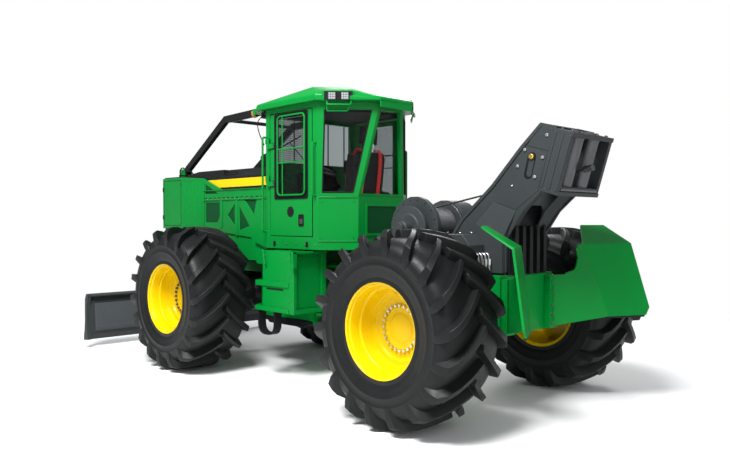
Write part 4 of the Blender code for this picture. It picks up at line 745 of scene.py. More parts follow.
both_sides("louvre_ribs_{}", ribbed(-2.960, -2.440, 1.740, 2.370, SIDE_X, 0.018, 9), "front", GREEN,
           smooth_angle=60)
STRIPE = [(-0.968, 2.268), (-0.968, 2.372), (-2.330, 2.372), (-2.060, 2.268)]
both_sides("stripe_{}", polygon_plate(STRIPE, 0.6498, 0.6522), "front", YELLOW)
STRIPE_EDGE = [(-0.968, 2.262), (-0.968, 2.378), (-2.352, 2.378), (-2.050, 2.262)]
both_sides("stripe_edge_{}", polygon_plate(STRIPE_EDGE, 0.6490, 0.6508), "front", BLACK)
OPENINGS = [[(-2.360, 2.186), (-2.040, 2.186), (-2.360, 2.330)],
            [(-2.360, 1.800), (-2.060, 1.800), (-2.000, 1.880), (-2.000, 2.080), (-2.360, 2.080)],
            [(-1.660, 1.760), (-1.660, 2.050), (-1.830, 1.900)],
            [(-1.560, 1.700), (-1.330, 1.760), (-1.560, 2.020)],
            [(-1.450, 2.100), (-1.180, 2.100), (-1.240, 1.900)]]
# The backs carry painted shade: the dark shaded green stands for the shadow inside each opening.
backs = merged([polygon_plate(o, 0.6675, 0.6695, 0.985) for o in OPENINGS])
both_sides("opening_backs_{}", backs, "front", GREEN, look="shaded_green")
rims_in = merged([ring_plate(o, o.mean(0) + (o - o.mean(0)) * 0.93, 0.6695, 0.676)
                  for o in map(np.array, OPENINGS)])
both_sides("opening_rims_{}", rims_in, "front", GREEN, bevel=0.001)
belt = row((SIDE_X, -2.300, 2.112), (SIDE_X, -1.020, 2.112), 15)
both_sides("belt_bolts_{}", hex_heads(belt, (1, 0, 0), 0.0085, 0.007), "front", **DARK)
strips = merged([block(SIDE_X - 0.001, SIDE_X + 0.004, y0, y0 + 0.055, 2.128, 2.136)
                 for y0 in np.arange(-2.36, -1.05, 0.105)])
both_sides("belt_slots_{}", strips, "front", PLASTIC)
posts = merged([block(SIDE_X - 0.002, SIDE_X + 0.010, y - 0.022, y + 0.022, z0, z1)
                for y, z0, z1 in ((-2.400, 1.735, 2.380), (-1.610, 1.640, 2.110), (-1.960, 1.735, 2.110))])
both_sides("side_posts_{}", posts, "front", GREEN, bevel=0.004)
flange = merged([block(SIDE_X - 0.002, SIDE_X + 0.012, -2.400, -0.972, 2.098, 2.108),
                 block(SIDE_X - 0.002, SIDE_X + 0.012, -2.420, -0.972, 2.226, 2.236)])
both_sides("belt_flanges_{}", flange, "front", GREEN, bevel=0.003)
gap = ring_plate(frame_outline(-3.470, -2.985, 1.760, 2.405, 0.02),
                 frame_outline(-3.463, -2.992, 1.767, 2.398, 0.018), SIDE_X - 0.004, SIDE_X + 0.0015)
both_sides("front_door_gap_{}", gap, "front", **SEAL)
spots = np.array([(SIDE_X, -3.20, z) for z in (2.03, 1.93)] + [(SIDE_X, -3.01, z) for z in (1.82, 2.34)])
both_sides("front_door_bolts_{}", hex_heads(spots, (1, 0, 0), 0.010, 0.008), "front", **DARK)
hinges = merged([lathe([(z - 0.03, 0.0), (z - 0.03, 0.011), (z + 0.03, 0.011), (z + 0.03, 0.0)], "Z",
                       (SIDE_X + 0.004, -3.478, 0), 12) for z in (1.88, 2.28)])
both_sides("front_door_hinges_{}", hinges, "front", BLACK)
slots = []
for y0, y1 in ((-2.440, -2.120), (-2.020, -1.700)):
    outline = frame_outline(y0, y1, -0.030, 0.030, 0.026)
    inner = frame_outline(y0 + 0.012, y1 - 0.012, -0.020, 0.020, 0.018)
    slots.append(ring_plate(outline, inner, 0.0, 0.008))
    slots.append(prism(inner, "X", 0.0, 0.0015))
slot_corners, slot_faces = merged(slots)
out = np.array([0.1, 0.0, 0.09]) / math.hypot(0.1, 0.09)
up = np.array([-0.09, 0.0, 0.1]) / math.hypot(0.1, 0.09)
slot_corners = (slot_corners[:, :1] * out + slot_corners[:, 1:2] * np.array([0.0, 1.0, 0.0])
                + slot_corners[:, 2:] * up + np.array([0.605, 0.0, 2.4497]))
both_sides("hood_slots_{}", (slot_corners, slot_faces), "front", BLACK, look=PLASTIC, bevel=0.002)
ridge = prism([(-0.40, 2.4990), (0.40, 2.4990), (0.36, 2.5120), (-0.36, 2.5120)], "Y", -1.900, -1.020)
piece("hood_ridge", ridge, "front", BLACK, bevel=0.006)
stack = lathe([(2.49, 0.0), (2.49, 0.060), (2.515, 0.060), (2.520, 0.045), (2.76, 0.045), (2.765, 0.038),
               (2.52, 0.036), (2.52, 0.0)], "Z", (-0.34, -1.30, 0), 32)
piece("exhaust", stack, "front", **DARK, bevel=0.002)
cap = lathe([(2.49, 0.0), (2.49, 0.085), (2.60, 0.085), (2.64, 0.100), (2.66, 0.100), (2.69, 0.070),
             (2.70, 0.0)], "Z", (0.30, -1.45, 0), 36)
piece("air_intake", cap, "front", BLACK, bevel=0.003)
print("engine enclosure done")

# %% [markdown]
# ## Front grille and branch risers
# The grille is a stack of slots in a heavy plate, with a screen behind them and a lamp at each upper
# corner. The risers carry a painted cap and a clevis at the roof, and a clamp with a lifting eye in front.

# %% Grille screen, lamps, riser caps and eyes
front_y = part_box("grille")[0].y - PIVOT_Y
wires = screen((-0.55, front_y + 0.021, 1.52), (1.10, 0, 0), (0, 0, 0.79), 0.024, 0.004)
piece("grille_screen", wires, "front", BLACK, smooth_angle=20)
grille_bolts = [(x, front_y, z) for x in (-0.615, 0.615) for z in np.linspace(1.5, 2.32, 5)]
piece("grille_bolts", hex_heads(grille_bolts, (0, -1, 0), 0.011, 0.009), "front", **DARK)
for name, x in (("outer", 0.500), ("inner", 0.385)):
    parts = lamp_shapes((x, front_y - 0.004, 2.355), (0.0, -1.0, 0.0), 0.085)
    for (label, look), shape in zip(LAMP_LOOKS.items(), parts):
        both_sides("headlamp_" + name + "_" + label + "_{}", shape, "front", PLASTIC, look=look)
cap = tube([(0.560, -1.345, 3.187), (0.560, -1.395, 3.178)], 0.052, 20, (1, 0, 0), 0.9)
both_sides("riser_cap_{}", cap, "front", STEEL, look="amber", bevel=0.003)
clevis = merged([block(x, x + 0.012, -1.365, -1.305, 3.150, 3.232) for x in (0.512, 0.596)])
both_sides("riser_clevis_{}", clevis, "front", GREEN, bevel=0.003)
clamp = merged([block(0.515, 0.605, -3.080, -3.020, 2.470, 2.545)]
               + [block(x, x + 0.012, -3.120, -2.985, 2.456, 2.560) for x in (0.500, 0.608)])
both_sides("riser_clamp_{}", clamp, "front", GREEN, bevel=0.004)
eye = flowing([(0.640, -3.07, 2.456), (0.655, -3.05, 2.540), (0.655, -2.98, 2.575), (0.650, -2.90, 2.540),
               (0.640, -2.80, 2.520), (0.630, -2.72, 2.470)], 40)
both_sides("hood_eye_{}", tube(eye, 0.009, 10, (1, 0, 0)), "front", BLACK)
crossbar = tube([(-0.560, -2.000, 3.160), (0.560, -2.000, 3.160)], 0.024, 14)
piece("riser_crossbar", crossbar, "front", BLACK)
screen_bars = merged([tube([(x, -0.938, 2.520), (x, -0.938, 3.080)], 0.008, 8, (0, 1, 0))
                      for x in np.linspace(-0.56, 0.56, 5)])
piece("windshield_bars", screen_bars, "front", GREEN, look=BLACK)
wiper = merged([tube([(0.05, -0.945, 2.535), (0.34, -0.950, 2.80)], 0.006, 8, (0, 1, 0)),
                tube([(0.16, -0.948, 2.90), (0.50, -0.948, 2.72)], 0.008, 8, (0, 1, 0))])
piece("wiper", wiper, "front", **SEAL)
print("front done")

# %% [markdown]
# ## Steps and tank
# The box beside the cab is tank and stairway: treads with punched grips, a raised band on its side that
# runs on from each tread, a recessed rear cover under a lip, and a rubber strap that hangs down as the
# first step, because it gives way where a steel step would be torn off.

# %% Treads, bands, straps and handles
def strap(path, half_width, half_thick, across):
    """A flat belt along a path in one plane: corners = path +- width * across +- thickness * normal."""
    path = np.array(path, float)
    along = np.gradient(path, axis=0)
    along /= np.linalg.norm(along, axis=1, keepdims=True)
    across = np.array(across, float)
    normal = np.cross(along, across)
    signs = np.array([(-1, -1), (1, -1), (1, 1), (-1, 1)])
    ring = (signs[:, 0][None, :, None] * half_width * across
            + signs[:, 1][None, :, None] * half_thick * normal[:, None])
    return grid(path[:, None] + ring)


hang = bent([(0.900, y, z) for y, z in ((-0.775, 0.800), (-0.775, 0.520), (-0.475, 0.520), (-0.475, 0.800))],
            0.14, 10)
both_sides("step_strap_{}", strap(hang, 0.052, 0.011, (1, 0, 0)), "front", RUBBER, look="soft_rubber",
           bevel=0.003)
grips = []
for z in (0.846, 1.136):
    for y in row((0, -0.810, 0), (0, -0.705, 0), 4)[:, 1]:
        grips.append(block(0.610, 0.940, y - 0.004, y + 0.004, z - 0.001, z + 0.008))
both_sides("tread_grips_{}", merged(grips), "front", GREEN)
bands = merged([block(0.945, 0.962, -0.822, -0.200, 1.076, 1.138),
                block(0.945, 0.962, -0.828, -0.200, 0.788, 0.838)])
both_sides("step_bands_{}", bands, "front", GREEN, bevel=0.004)
both_sides("step_slot_{}", prism(frame_outline(-0.620, -0.300, 1.038, 1.060, 0.010), "X", 0.9490, 0.9512),
           "front", PLASTIC)
spots = [(0.950, y, z) for y, z in ((-0.215, 1.394), (-0.180, 1.192), (-0.200, 0.933), (-0.64, 1.43))]
both_sides("step_bolts_{}", hex_heads(spots, (1, 0, 0), 0.009, 0.007), "front", **DARK)
lip = merged([block(0.500, 0.990, -0.118, -0.070, 1.462, 1.486),
              block(0.940, 0.990, -0.118, -0.070, 1.30, 1.486)])
both_sides("tank_lip_{}", lip, "front", GREEN, bevel=0.004)
both_sides("tank_cover_{}", block(0.545, 0.905, -0.1415, -0.138, 0.842, 1.428), "front", GREEN)
handle = tube(bent([(0.952, -0.690, 1.485), (0.985, -0.640, 1.500), (0.985, -0.600, 1.330),
                    (0.952, -0.620, 1.300)], 0.04), 0.009, 8, (0.2, 1, 0))
both_sides("step_handle_{}", handle, "front", GREEN)
both_sides("tank_shelf_{}", block(0.400, 0.480, -0.660, -0.140, 1.482, 1.500), "front", GREEN, bevel=0.003)
skirt = prism([(-2.100, 1.740), (-0.968, 1.740), (-0.968, 1.360), (-1.100, 1.335), (-1.380, 1.335),
               (-1.620, 1.490), (-1.850, 1.640)], "X", 0.640, 0.662)
both_sides("side_skirt_{}", skirt, "front", GREEN, bevel=0.004)
fender = prism([(-1.180, 1.560), (-0.960, 1.500), (-0.960, 1.480), (-1.190, 1.540)], "X", 0.400, 0.700)
both_sides("cab_fender_{}", fender, "front", GREEN, look="shaded_green", bevel=0.003)
print("steps done")

# %% [markdown]
# ## Winch and cable
# The rope lies on the drum in one full layer, so its outline is a row of half circles, one rope wide. The
# housing discs carry a ring of bolts and a bearing cover, and a motor stands out from the gear case. The
# taut rope to the fairlead has six strands: its radius swells and dips six times round, and the pattern
# turns along the rope.

# %% Wound rope, covers, motor and taut rope
WINCH = np.array([0.0, 1.130, 1.754])
TURNS = 19
turns = np.linspace(-0.106, 0.268, TURNS * 10 + 1)
wave = np.mod((turns + 0.106) / (0.374 / TURNS), 1.0) * 2 - 1
wound = 0.205 + 0.0098 * np.sqrt(np.clip(1 - wave ** 2, 0, 1))
profile = [(-0.106, 0.1955)] + list(zip(turns, wound)) + [(0.268, 0.1955)]
piece("wound_rope", lathe(profile, "X", WINCH, 72), "winch_drum", STEEL, look="rope_steel", smooth_angle=60)


def bolt_ring(centre, way, radius, count, size=0.012, axis="X"):
    """Bolt heads evenly spaced on a circle about an axis."""
    t = np.linspace(0, 2 * np.pi, count, endpoint=False)
    spots = place(radius * np.cos(t), radius * np.sin(t), 0.0, axis) + np.array(centre)
    return hex_heads(spots, way, size, 0.010)


left_cover = lathe([(0.3495, 0.0), (0.3495, 0.110), (0.362, 0.110), (0.368, 0.100), (0.368, 0.060),
                    (0.385, 0.055), (0.388, 0.0)], "X", WINCH, 40)
piece("winch_left_cover", left_cover, "rear", CHARCOAL, bevel=0.003)
heads = merged([bolt_ring(WINCH + (x, 0, 0), (1, 0, 0), radius, count, size)
                for x, radius, count, size in ((0.3495, 0.300, 18, 0.010), (0.368, 0.082, 6, 0.009))])
piece("winch_left_bolts", heads, "rear", **DARK)
gear = lathe([(-0.4095, 0.0), (-0.4095, 0.230), (-0.430, 0.225), (-0.440, 0.150), (-0.452, 0.140),
              (-0.455, 0.0)], "X", WINCH, 48)
motor = lathe([(-0.450, 0.0), (-0.450, 0.075), (-0.540, 0.075), (-0.550, 0.060), (-0.590, 0.055),
               (-0.592, 0.0)], "X", WINCH, 32)
# flipped() carries the case to the left, beyond the left cover, and not to the housing's right end.
piece("winch_gear_case", flipped(merged([gear, motor])), "rear", CHARCOAL, bevel=0.003)
piece("winch_right_bolts", bolt_ring(WINCH - (0.4095, 0, 0), (-1, 0, 0), 0.262, 14), "rear", **DARK)
cable_mesh = frame["nodes"]["winch_cable"]
spots = np.array([v.co[:] for v in cable_mesh.data.vertices])
order = np.argsort(spots[:, 1])
start, goal = spots[order[:8]].mean(0), spots[order[-8:]].mean(0)
way = (goal - start) / np.linalg.norm(goal - start)
side_way = np.array([1.0, 0.0, 0.0])
up_way = np.cross(side_way, way)
steps = np.linspace(0, np.linalg.norm(goal - start) - 0.09, 260)
t = np.linspace(0, 2 * np.pi, 30, endpoint=False)
strands = 0.0098 * (0.84 + 0.16 * np.abs(np.cos(3 * (t[None] + 26.0 * steps[:, None]))))
rope = (start + steps[:, None, None] * way + strands[..., None]
        * (np.cos(t)[None, :, None] * side_way + np.sin(t)[None, :, None] * up_way))
ferrule = np.array([(0.0, 0.011), (0.010, 0.019), (0.020, 0.029), (0.115, 0.029), (0.118, 0.022)])
base = steps[-1] - 0.030
cups = (start + (base + ferrule[:, 0])[:, None, None] * way + ferrule[:, 1][:, None, None]
        * (np.cos(t)[None, :, None] * side_way + np.sin(t)[None, :, None] * up_way))
piece("taut_rope", grid(rope), "rear", STEEL, look="rope_steel", shift=False, smooth_angle=60,
      replaces=("winch_cable",))
piece("rope_ferrule", grid(cups), "rear", **DARK, shift=False, bevel=0.002)
print("winch done")

# %% [markdown]
# ## Arch and fairlead
# The arch's side plates carry doublers, pressed flares at their feet, bright bolts and a keyhole slot with
# the fairlead's lock pin. Two folded legs close the rear. The fairlead leans back with the arch, so its
# details are laid out in its own tilted frame: across, depth and height.

# %% Arch details
def edge_strip(points, width):
    """An outline made of a line and the same line moved to its right by a width."""
    points = np.array(points, float)
    way = np.gradient(points, axis=0)
    way /= np.linalg.norm(way, axis=1, keepdims=True)
    return np.concatenate([points, (points + np.stack([way[:, 1], -way[:, 0]], -1) * width)[::-1]])


def slab(near, far):
    """A closed solid between two rings of the same number of corners."""
    return grid(np.stack([np.array(near, float), np.array(far, float)]))


def leg_ring(x_out, x_in, y, z, back=0.06, thick=0.02):
    """One station of a rear leg: it runs inwards and forwards from the side plate's edge."""
    return [(x_out, y, z), (x_in, y - back, z), (x_in, y - back - thick, z), (x_out, y - thick, z)]


front_edge = [(1.522, 1.340), (1.522, 1.558), (1.741, 1.854), (2.098, 2.165), (2.421, 2.509), (2.628, 2.704)]
both_sides("arch_front_edge_{}", prism(edge_strip(front_edge, 0.034), "X", 0.3295, 0.340), "rear", CHARCOAL,
           bevel=0.003)
doubler = [(2.500, 2.512), (2.752, 2.437), (2.776, 2.640), (2.640, 2.680), (2.545, 2.602)]
both_sides("arch_top_doubler_{}", prism(doubler, "X", 0.3295, 0.3345), "rear", CHARCOAL, bevel=0.002)
doubler = [(2.160, 2.005), (2.372, 1.930), (2.610, 2.100), (2.700, 2.420), (2.498, 2.490), (2.180, 2.150)]
both_sides("arch_mid_doubler_{}", prism(doubler, "X", 0.3295, 0.3330), "rear", CHARCOAL, bevel=0.0015)
flare = slab([(0.331, 2.120, 2.004), (0.331, 2.372, 1.918), (0.372, 2.250, 1.660), (0.372, 1.940, 1.800)],
             [(0.3295, 2.120, 2.004), (0.3295, 2.372, 1.918), (0.3295, 2.250, 1.660), (0.3295, 1.940, 1.800)])
foot = slab([(0.372, 1.940, 1.800), (0.372, 2.250, 1.660), (0.372, 2.250, 1.340), (0.372, 2.060, 1.340)],
            [(0.3295, 1.940, 1.800), (0.3295, 2.250, 1.660), (0.3295, 2.250, 1.340), (0.3295, 2.060, 1.340)])
both_sides("arch_flare_{}", merged([flare, foot]), "rear", CHARCOAL, bevel=0.003)
upper_leg = [leg_ring(0.329, 0.150, 2.612, 2.085), leg_ring(0.329, 0.150, 2.445, 1.925),
             leg_ring(0.329, 0.180, 2.268, 1.700, 0.02), leg_ring(0.329, 0.200, 2.264, 1.345, 0.01)]
# flipped() swaps the pair: the piece named left stands on the right.
both_sides("arch_leg_{}", flipped(grid(np.array(upper_leg))), "rear", CHARCOAL, bevel=0.003)
# A black panel painted as shade: it fills the arch's central opening between the legs with dark.
piece("arch_inner_panel", block(-0.28, 0.28, 2.250, 2.262, 1.36, 1.98), "rear", BLACK)
spots = np.array([(0.334, y, z) for y, z in ((2.700, 2.590), (2.471, 2.475), (2.655, 2.395), (2.394, 2.331),
                                              (2.575, 2.225))])
both_sides("arch_bolts_{}", hex_heads(spots, (1, 0, 0), 0.016, 0.012, 12), "rear", **BRIGHT)
small = hex_heads([(0.333, 2.331, 2.151)], (1, 0, 0), 0.010, 0.006, 12)
both_sides("arch_small_bolt_{}", small, "rear", **BRIGHT)
t = np.linspace(0, 2 * np.pi, 24, endpoint=False) - 0.25
key_line = np.array([(2.545, 2.405), (2.505, 2.250)])
stadium = np.concatenate([end + 0.044 * np.stack([np.cos(half), np.sin(half)], -1)
                          for end, half in zip(key_line, (t[:13], t[12:]))])
# The slot is painted shade: a thin black stadium on the side plate stands for its dark recess round the
# plate.
both_sides("arch_slot_{}", prism(stadium, "X", 0.3325, 0.3340), "rear", **SEAL)
middle = key_line.mean(0)
plate_in = middle + (stadium - middle) * np.array([0.62, 0.70]) + np.array([0.004, -0.018])
both_sides("arch_slot_plate_{}", prism(plate_in, "X", 0.3335, 0.3375), "rear", CHARCOAL, bevel=0.002)
pin = lathe([(0.333, 0.0), (0.333, 0.026), (0.352, 0.026), (0.358, 0.020), (0.358, 0.0)], "X",
            (0, 2.545, 2.408), 28)
both_sides("arch_pin_{}", pin, "rear", **ZINC)
print("arch done")

# %% Fairlead details
FAIR_HIGH = math.hypot(0.160, 0.540)
LEAN = np.array([0.0, 0.160, 0.540]) / FAIR_HIGH
DEPTH = np.array([0.0, LEAN[2], -LEAN[1]])
FAIR_FOOT = np.array([0.0, 2.630, 2.104])


def leaned(shape):
    """Moves a shape from the fairlead's own (across, depth, height) to the machine's frame."""
    corners, faces = shape
    return (FAIR_FOOT + corners[:, :1] * np.array([1.0, 0, 0]) + corners[:, 1:2] * DEPTH
            + corners[:, 2:] * LEAN), faces


heads = [hex_heads([(x, a, FAIR_HIGH) for x in (-0.30, -0.135, 0.135, 0.30) for a in (0.045, 0.145)],
                   (0, 0, 1), 0.015, 0.014)]
heads.append(hex_heads([(x, 0.095, FAIR_HIGH) for x in (-0.135, 0.135)], (0, 0, 1), 0.030, 0.014, 20))
piece("fairlead_top_bolts", leaned(merged(heads)), "rear", **DARK)
ribs = []
for x in (-0.345, 0.345):
    for a in (0.010, 0.085, 0.160):
        ribs.append(block(x - 0.019, x + 0.019, a - 0.004, a + 0.024, 0.028, FAIR_HIGH - 0.028))
piece("fairlead_ribs", leaned(merged(ribs)), "rear", CHARCOAL, bevel=0.003)
cross = lathe([(-0.312, 0.0), (-0.312, 0.024), (0.312, 0.024), (0.312, 0.0)], "X", (0, 0.170, 0.056), 24)
piece("fairlead_low_roller", leaned(cross), "rear", **DARK, bevel=0.002)
lips = merged([block(-0.362, 0.362, 0.186, 0.196, low, high)
               for low, high in ((FAIR_HIGH - 0.040, FAIR_HIGH + 0.002), (-0.002, 0.036))])
piece("fairlead_lips", leaned(lips), "rear", CHARCOAL, bevel=0.003)
for word, x in (("left", 0.135), ("right", -0.135)):
    flange = [lathe([(h, 0.0), (h, 0.080), (h + 0.010, 0.080), (h + 0.014, 0.0762), (h + 0.014, 0.0)], "Z",
                    (x, 0.095, 0), 32) for h in (0.038, FAIR_HIGH - 0.054)]
    piece("roller_flange_" + word, leaned(merged(flange)), "roller_" + word, **DARK)
print("fairlead done")

# %% [markdown]
# ## Valves, guards and the rear frame
# The control valves stand beside the arch with capped spools and steel fittings. The rear guards are
# bolted to the frame's end through a flange, and have a stiffening lip along their open edge. Pins, grease
# covers and pipe runs dress the frames, and the axles get their covers.

# %% Valves, guards, pipes and pins
hatch = prism(frame_outline(1.585, 1.925, -0.105, 0.105, 0.03), "X", 0.0, 0.012)
hatch_corners = np.stack([hatch[0][:, 2] + 0.465, hatch[0][:, 1], 1.700 + hatch[0][:, 0]], -1)
# flipped() carries the hatch to the right, away from the valve box on the left.
piece("valve_hatch", flipped((hatch_corners, hatch[1])), "rear", PLASTIC, bevel=0.003)
hatch_bolts = [(x, y, 1.712) for x in (0.38, 0.55) for y in (1.61, 1.90)]
piece("valve_hatch_bolts", hex_heads(hatch_bolts, (0, 0, 1), 0.009, 0.008), "rear", **BRIGHT)
fittings, caps = [], []
for k, x in enumerate((0.392, 0.446, 0.500, 0.554)):
    fittings.append(tube(bent([(x, 2.049, 1.520), (x, 2.110, 1.520), (x, 2.125, 1.330)], 0.03), 0.012, 12))
    fittings.append(lathe([(1.470, 0.0), (1.470, 0.018), (1.440, 0.020), (1.410, 0.018), (1.410, 0.0)], "Z",
                          (x, 2.118, 0), 6))
    caps.append(lathe([(2.0495, 0.0), (2.0495, 0.019), (2.075, 0.019), (2.080, 0.014), (2.080, 0.0)], "Y",
                      (x, 0, 1.380), 16))
piece("valve_pipes", merged(fittings), "rear", **BRIGHT)
piece("valve_caps", merged(caps), "rear", **ZINC)
ribs = merged([block(0.5995, 0.608, y, y + 0.012, 1.345, 1.585) for y in np.arange(1.50, 2.02, 0.075)])
piece("valve_ribs", ribs, "rear", BLACK, bevel=0.002)
flange_bolts = hex_heads([(0.335, 2.3475, z) for z in (0.82, 0.91, 1.00, 1.13, 1.22)], (0, 1, 0), 0.014,
                         0.012)
both_sides("guard_bolts_{}", flange_bolts, "rear", **DARK)
web, panel_way = (np.array([math.cos(math.radians(a)), math.sin(math.radians(a)), 0.0]) for a in (55, 28))
root = np.array([0.350, 2.292, 0.0])
lip_line = [root + web * s + np.array([0, 0, z]) for s, z in
            ((0.170, 1.300), (0.260, 1.345), (0.288, 1.450), (0.282, 1.570), (0.326, 1.600))]
both_sides("guard_lip_{}", tube(flowing(lip_line, 30), 0.013, 10), "rear", GREEN)
trim = root + web * 0.566 + np.array([0, 0, 0.886])
both_sides("guard_trim_{}", tube([trim, trim + panel_way * 0.425], 0.014, 10), "rear", **SEAL)
pin_cap = lathe([(1.3195, 0.0), (1.3195, 0.075), (1.3315, 0.075), (1.3355, 0.070), (1.3355, 0.0)], "Z",
                (0, 0, 0), 32)
piece("hitch_pin_cap", pin_cap, "front", **DARK, bevel=0.002)
cover = prism(frame_outline(1.150, 1.480, 0.860, 1.150, 0.05), "X", 0.4395, 0.4495)
both_sides("frame_covers_{}", cover, "rear", GREEN, bevel=0.003)
heads = hex_heads([(0.4495, y, z) for y in (1.18, 1.45) for z in (0.89, 1.12)], (1, 0, 0), 0.012, 0.010)
both_sides("frame_cover_bolts_{}", heads, "rear", **DARK)
pipes = [tube(bent([(0.452, 0.62, z), (0.452, 1.02, z), (0.452, 1.10, z + 0.06),
                    (0.452, 1.55, z + 0.06)], 0.03), 0.009, 10) for z in (0.74, 0.775, 0.81)]
both_sides("frame_pipes_{}", merged(pipes), "rear", BLACK)
print("rear dressed")

# %% [markdown]
# ## Axles, blade and push frame
# Each axle has bolted case covers on its middle housing. The blade has a separate
# cutting edge with plough bolts, a folded top flange, and a box beam and two saddles on its back.

# %% Axle covers and blade details
for word, y, body in (("rear", 1.835, "rear"), ("front", -1.835, "front_axle")):
    for turn in (1, -1):
        cover = lathe([(0.0, 0.0), (0.0, 0.185), (0.022, 0.180), (0.050, 0.150), (0.062, 0.080),
                       (0.064, 0.0)], "Y", (0, 0, 0), 40)
        corners = cover[0] * np.array([1, turn, 1]) + np.array([0, y + turn * 0.232, 0.880])
        shape = (corners, cover[1])
        name = "axle_cover_" + word + ("_back" if turn > 0 else "_fore")
        piece(name, shape if turn < 0 else flipped(shape), body, BLACK, bevel=0.003)
        heads = bolt_ring((0, y + turn * 0.246, 0.880), (0, turn, 0), 0.164, 12, 0.010, "Y")
        piece(name + "_bolts", heads, body, **DARK)
LOW = 0.110
edge = prism([(-4.140, LOW), (-4.124, LOW), (-4.110, LOW + 0.120), (-4.128, LOW + 0.120)], "X",
             -1.600, 1.600)
piece("cutting_edge", edge, "blade", **DARK, bevel=0.002)
box = prism([(-4.045, 0.235), (-3.9865, 0.290), (-3.992, 0.330), (-4.026, 0.600), (-4.045, 0.640)], "X",
            -1.480, 1.480)
piece("blade_box", box, "blade", CHARCOAL, look="light_charcoal", bevel=0.004)
cheeks = prism([(-4.138, 0.112), (-3.995, 0.125), (-4.035, 0.250), (-4.050, 0.480), (-4.030, 0.650),
                (-3.992, 0.772), (-4.060, 0.777), (-4.095, 0.700), (-4.100, 0.400)], "X", 1.545, 1.600)
both_sides("blade_cheek_{}", cheeks, "blade", CHARCOAL, bevel=0.004)
plate_line = np.array([(-4.140, 0.110), (-4.085, 0.190), (-4.062, 0.300), (-4.052, 0.440), (-4.062, 0.580),
                       (-4.085, 0.700), (-4.120, 0.775)])
plate = np.concatenate([plate_line + (0.0, 0.0), plate_line[::-1] + (0.022, 0.0)])
piece("blade_plate", prism(plate, "X", -1.560, 1.560), "blade", CHARCOAL, smooth_angle=20,
      replaces=("blade",))
saddles = merged([prism([(-4.042, 0.30), (-3.984, 0.325), (-3.984, 0.600), (-4.042, 0.64)], "X",
                        x - 0.060, x + 0.060) for x in (-0.570, 0.570)])
piece("blade_saddles", saddles, "blade", CHARCOAL, bevel=0.004)
top_flange = prism([(-4.075, 0.755), (-3.995, 0.740), (-3.992, 0.760), (-4.072, 0.777)], "X", -1.585, 1.585)
piece("blade_top_flange", top_flange, "blade", CHARCOAL, bevel=0.003)
heads = hex_heads([(x, -4.108, 0.190) for x in np.linspace(-1.50, 1.50, 16)], (0, 1, 0), 0.013, 0.012)
piece("edge_nuts", heads, "blade", **DARK)
caps = lathe([(0.6195, 0.0), (0.6195, 0.070), (0.632, 0.070), (0.636, 0.064), (0.636, 0.0)], "X",
             (0, -2.550, 0.700), 28)
both_sides("blade_pin_{}", caps, "blade", **DARK)
print("blade done")

# %% [markdown]
# ## Inside the cab
# The seat is foam under cloth. Each cushion is one closed crowned shape: its outline is a rounded
# rectangle, its thickness falls off smoothly towards every edge, its sides pull in between the corners,
# and shallow channels are sewn across it. Red belts hang over the backrest.

# %% The seat, belts, armrests and headliner
def cushion(width, length, thick, channels, corner=4.0, crown=0.55, pull=0.03):
    """A closed pillow.

    A point of the unit square (a, b) goes to width * a and length * b on both faces. Half thickness is
    thick / 2 * ((1 - a^corner)(1 - b^corner))^crown, less a groove of |sin| to a low power for each
    channel. Between corners the sides pull in by pull * (1 - the other coordinate squared).
    """
    s = np.sin(np.linspace(-np.pi / 2, np.pi / 2, 41))
    a, b = np.meshgrid(s, s, indexing="ij")
    body = np.clip((1 - np.abs(a) ** corner) * (1 - np.abs(b) ** corner), 0, 1) ** crown
    seam = 1 - 0.16 * (1 - np.abs(np.sin((b + 1) / 2 * np.pi * channels)) ** 0.35) * (np.abs(a) < 0.96)
    x = width / 2 * a * (1 - pull * (1 - b ** 2))
    y = length / 2 * b * (1 - pull * (1 - a ** 2))
    upper = np.stack([x, y, thick / 2 * body * seam], -1)
    lower = np.stack([x, y, -thick / 2 * body], -1)
    ring = np.concatenate([upper, lower[:, ::-1][:, 1:-1]], 1)
    return grid(ring, caps=False)


def set_at(shape, centre, tilt):
    """Tips a shape about X by tilt degrees and moves its middle to a place."""
    corners, faces = shape
    c, s = math.cos(math.radians(tilt)), math.sin(math.radians(tilt))
    turn = np.array([[1, 0, 0], [0, c, -s], [0, s, c]])
    return corners @ turn.T + np.array(centre), faces


seat_parts = [("seat_cushion", cushion(0.50, 0.50, 0.150, 4), (0.0, -0.345, 2.035), -4.0),
              ("seat_back", cushion(0.48, 0.56, 0.130, 5), (0.0, -0.030, 2.330), -84.0 + 168.0),
              ("seat_headrest", cushion(0.28, 0.20, 0.110, 2), (0.0, 0.095, 2.820), 86.0)]
for name, shape, centre, tilt in seat_parts:
    covers = ("operator_seat",) if name == "seat_cushion" else ()
    pad = piece(name, set_at(shape, centre, tilt), "front", CLOTH, smooth_angle=60, replaces=covers)
base = prism([(-0.520, 1.551), (-0.100, 1.551), (-0.100, 1.900), (-0.560, 1.955), (-0.560, 1.900)], "X",
             -0.200, 0.200)
shell = prism([(0.010, 1.880), (0.060, 1.890), (0.150, 2.560), (0.120, 2.640), (0.090, 2.560)], "X",
              -0.230, 0.230)
post = merged([tube([(x, 0.105, 2.58), (x, 0.118, 2.80)], 0.008, 10, (0, 1, 0)) for x in (-0.06, 0.06)])
piece("seat_base", merged([base, shell]), "front", PLASTIC, bevel=0.012)
piece("headrest_posts", post, "front", CHROME)
arms = merged([prism([(-0.45, 2.19), (-0.10, 2.21), (-0.10, 2.26), (-0.47, 2.25)], "X", x - 0.035, x + 0.035)
               for x in (-0.285, 0.285)])
piece("armrests", arms, "front", PLASTIC, bevel=0.012)
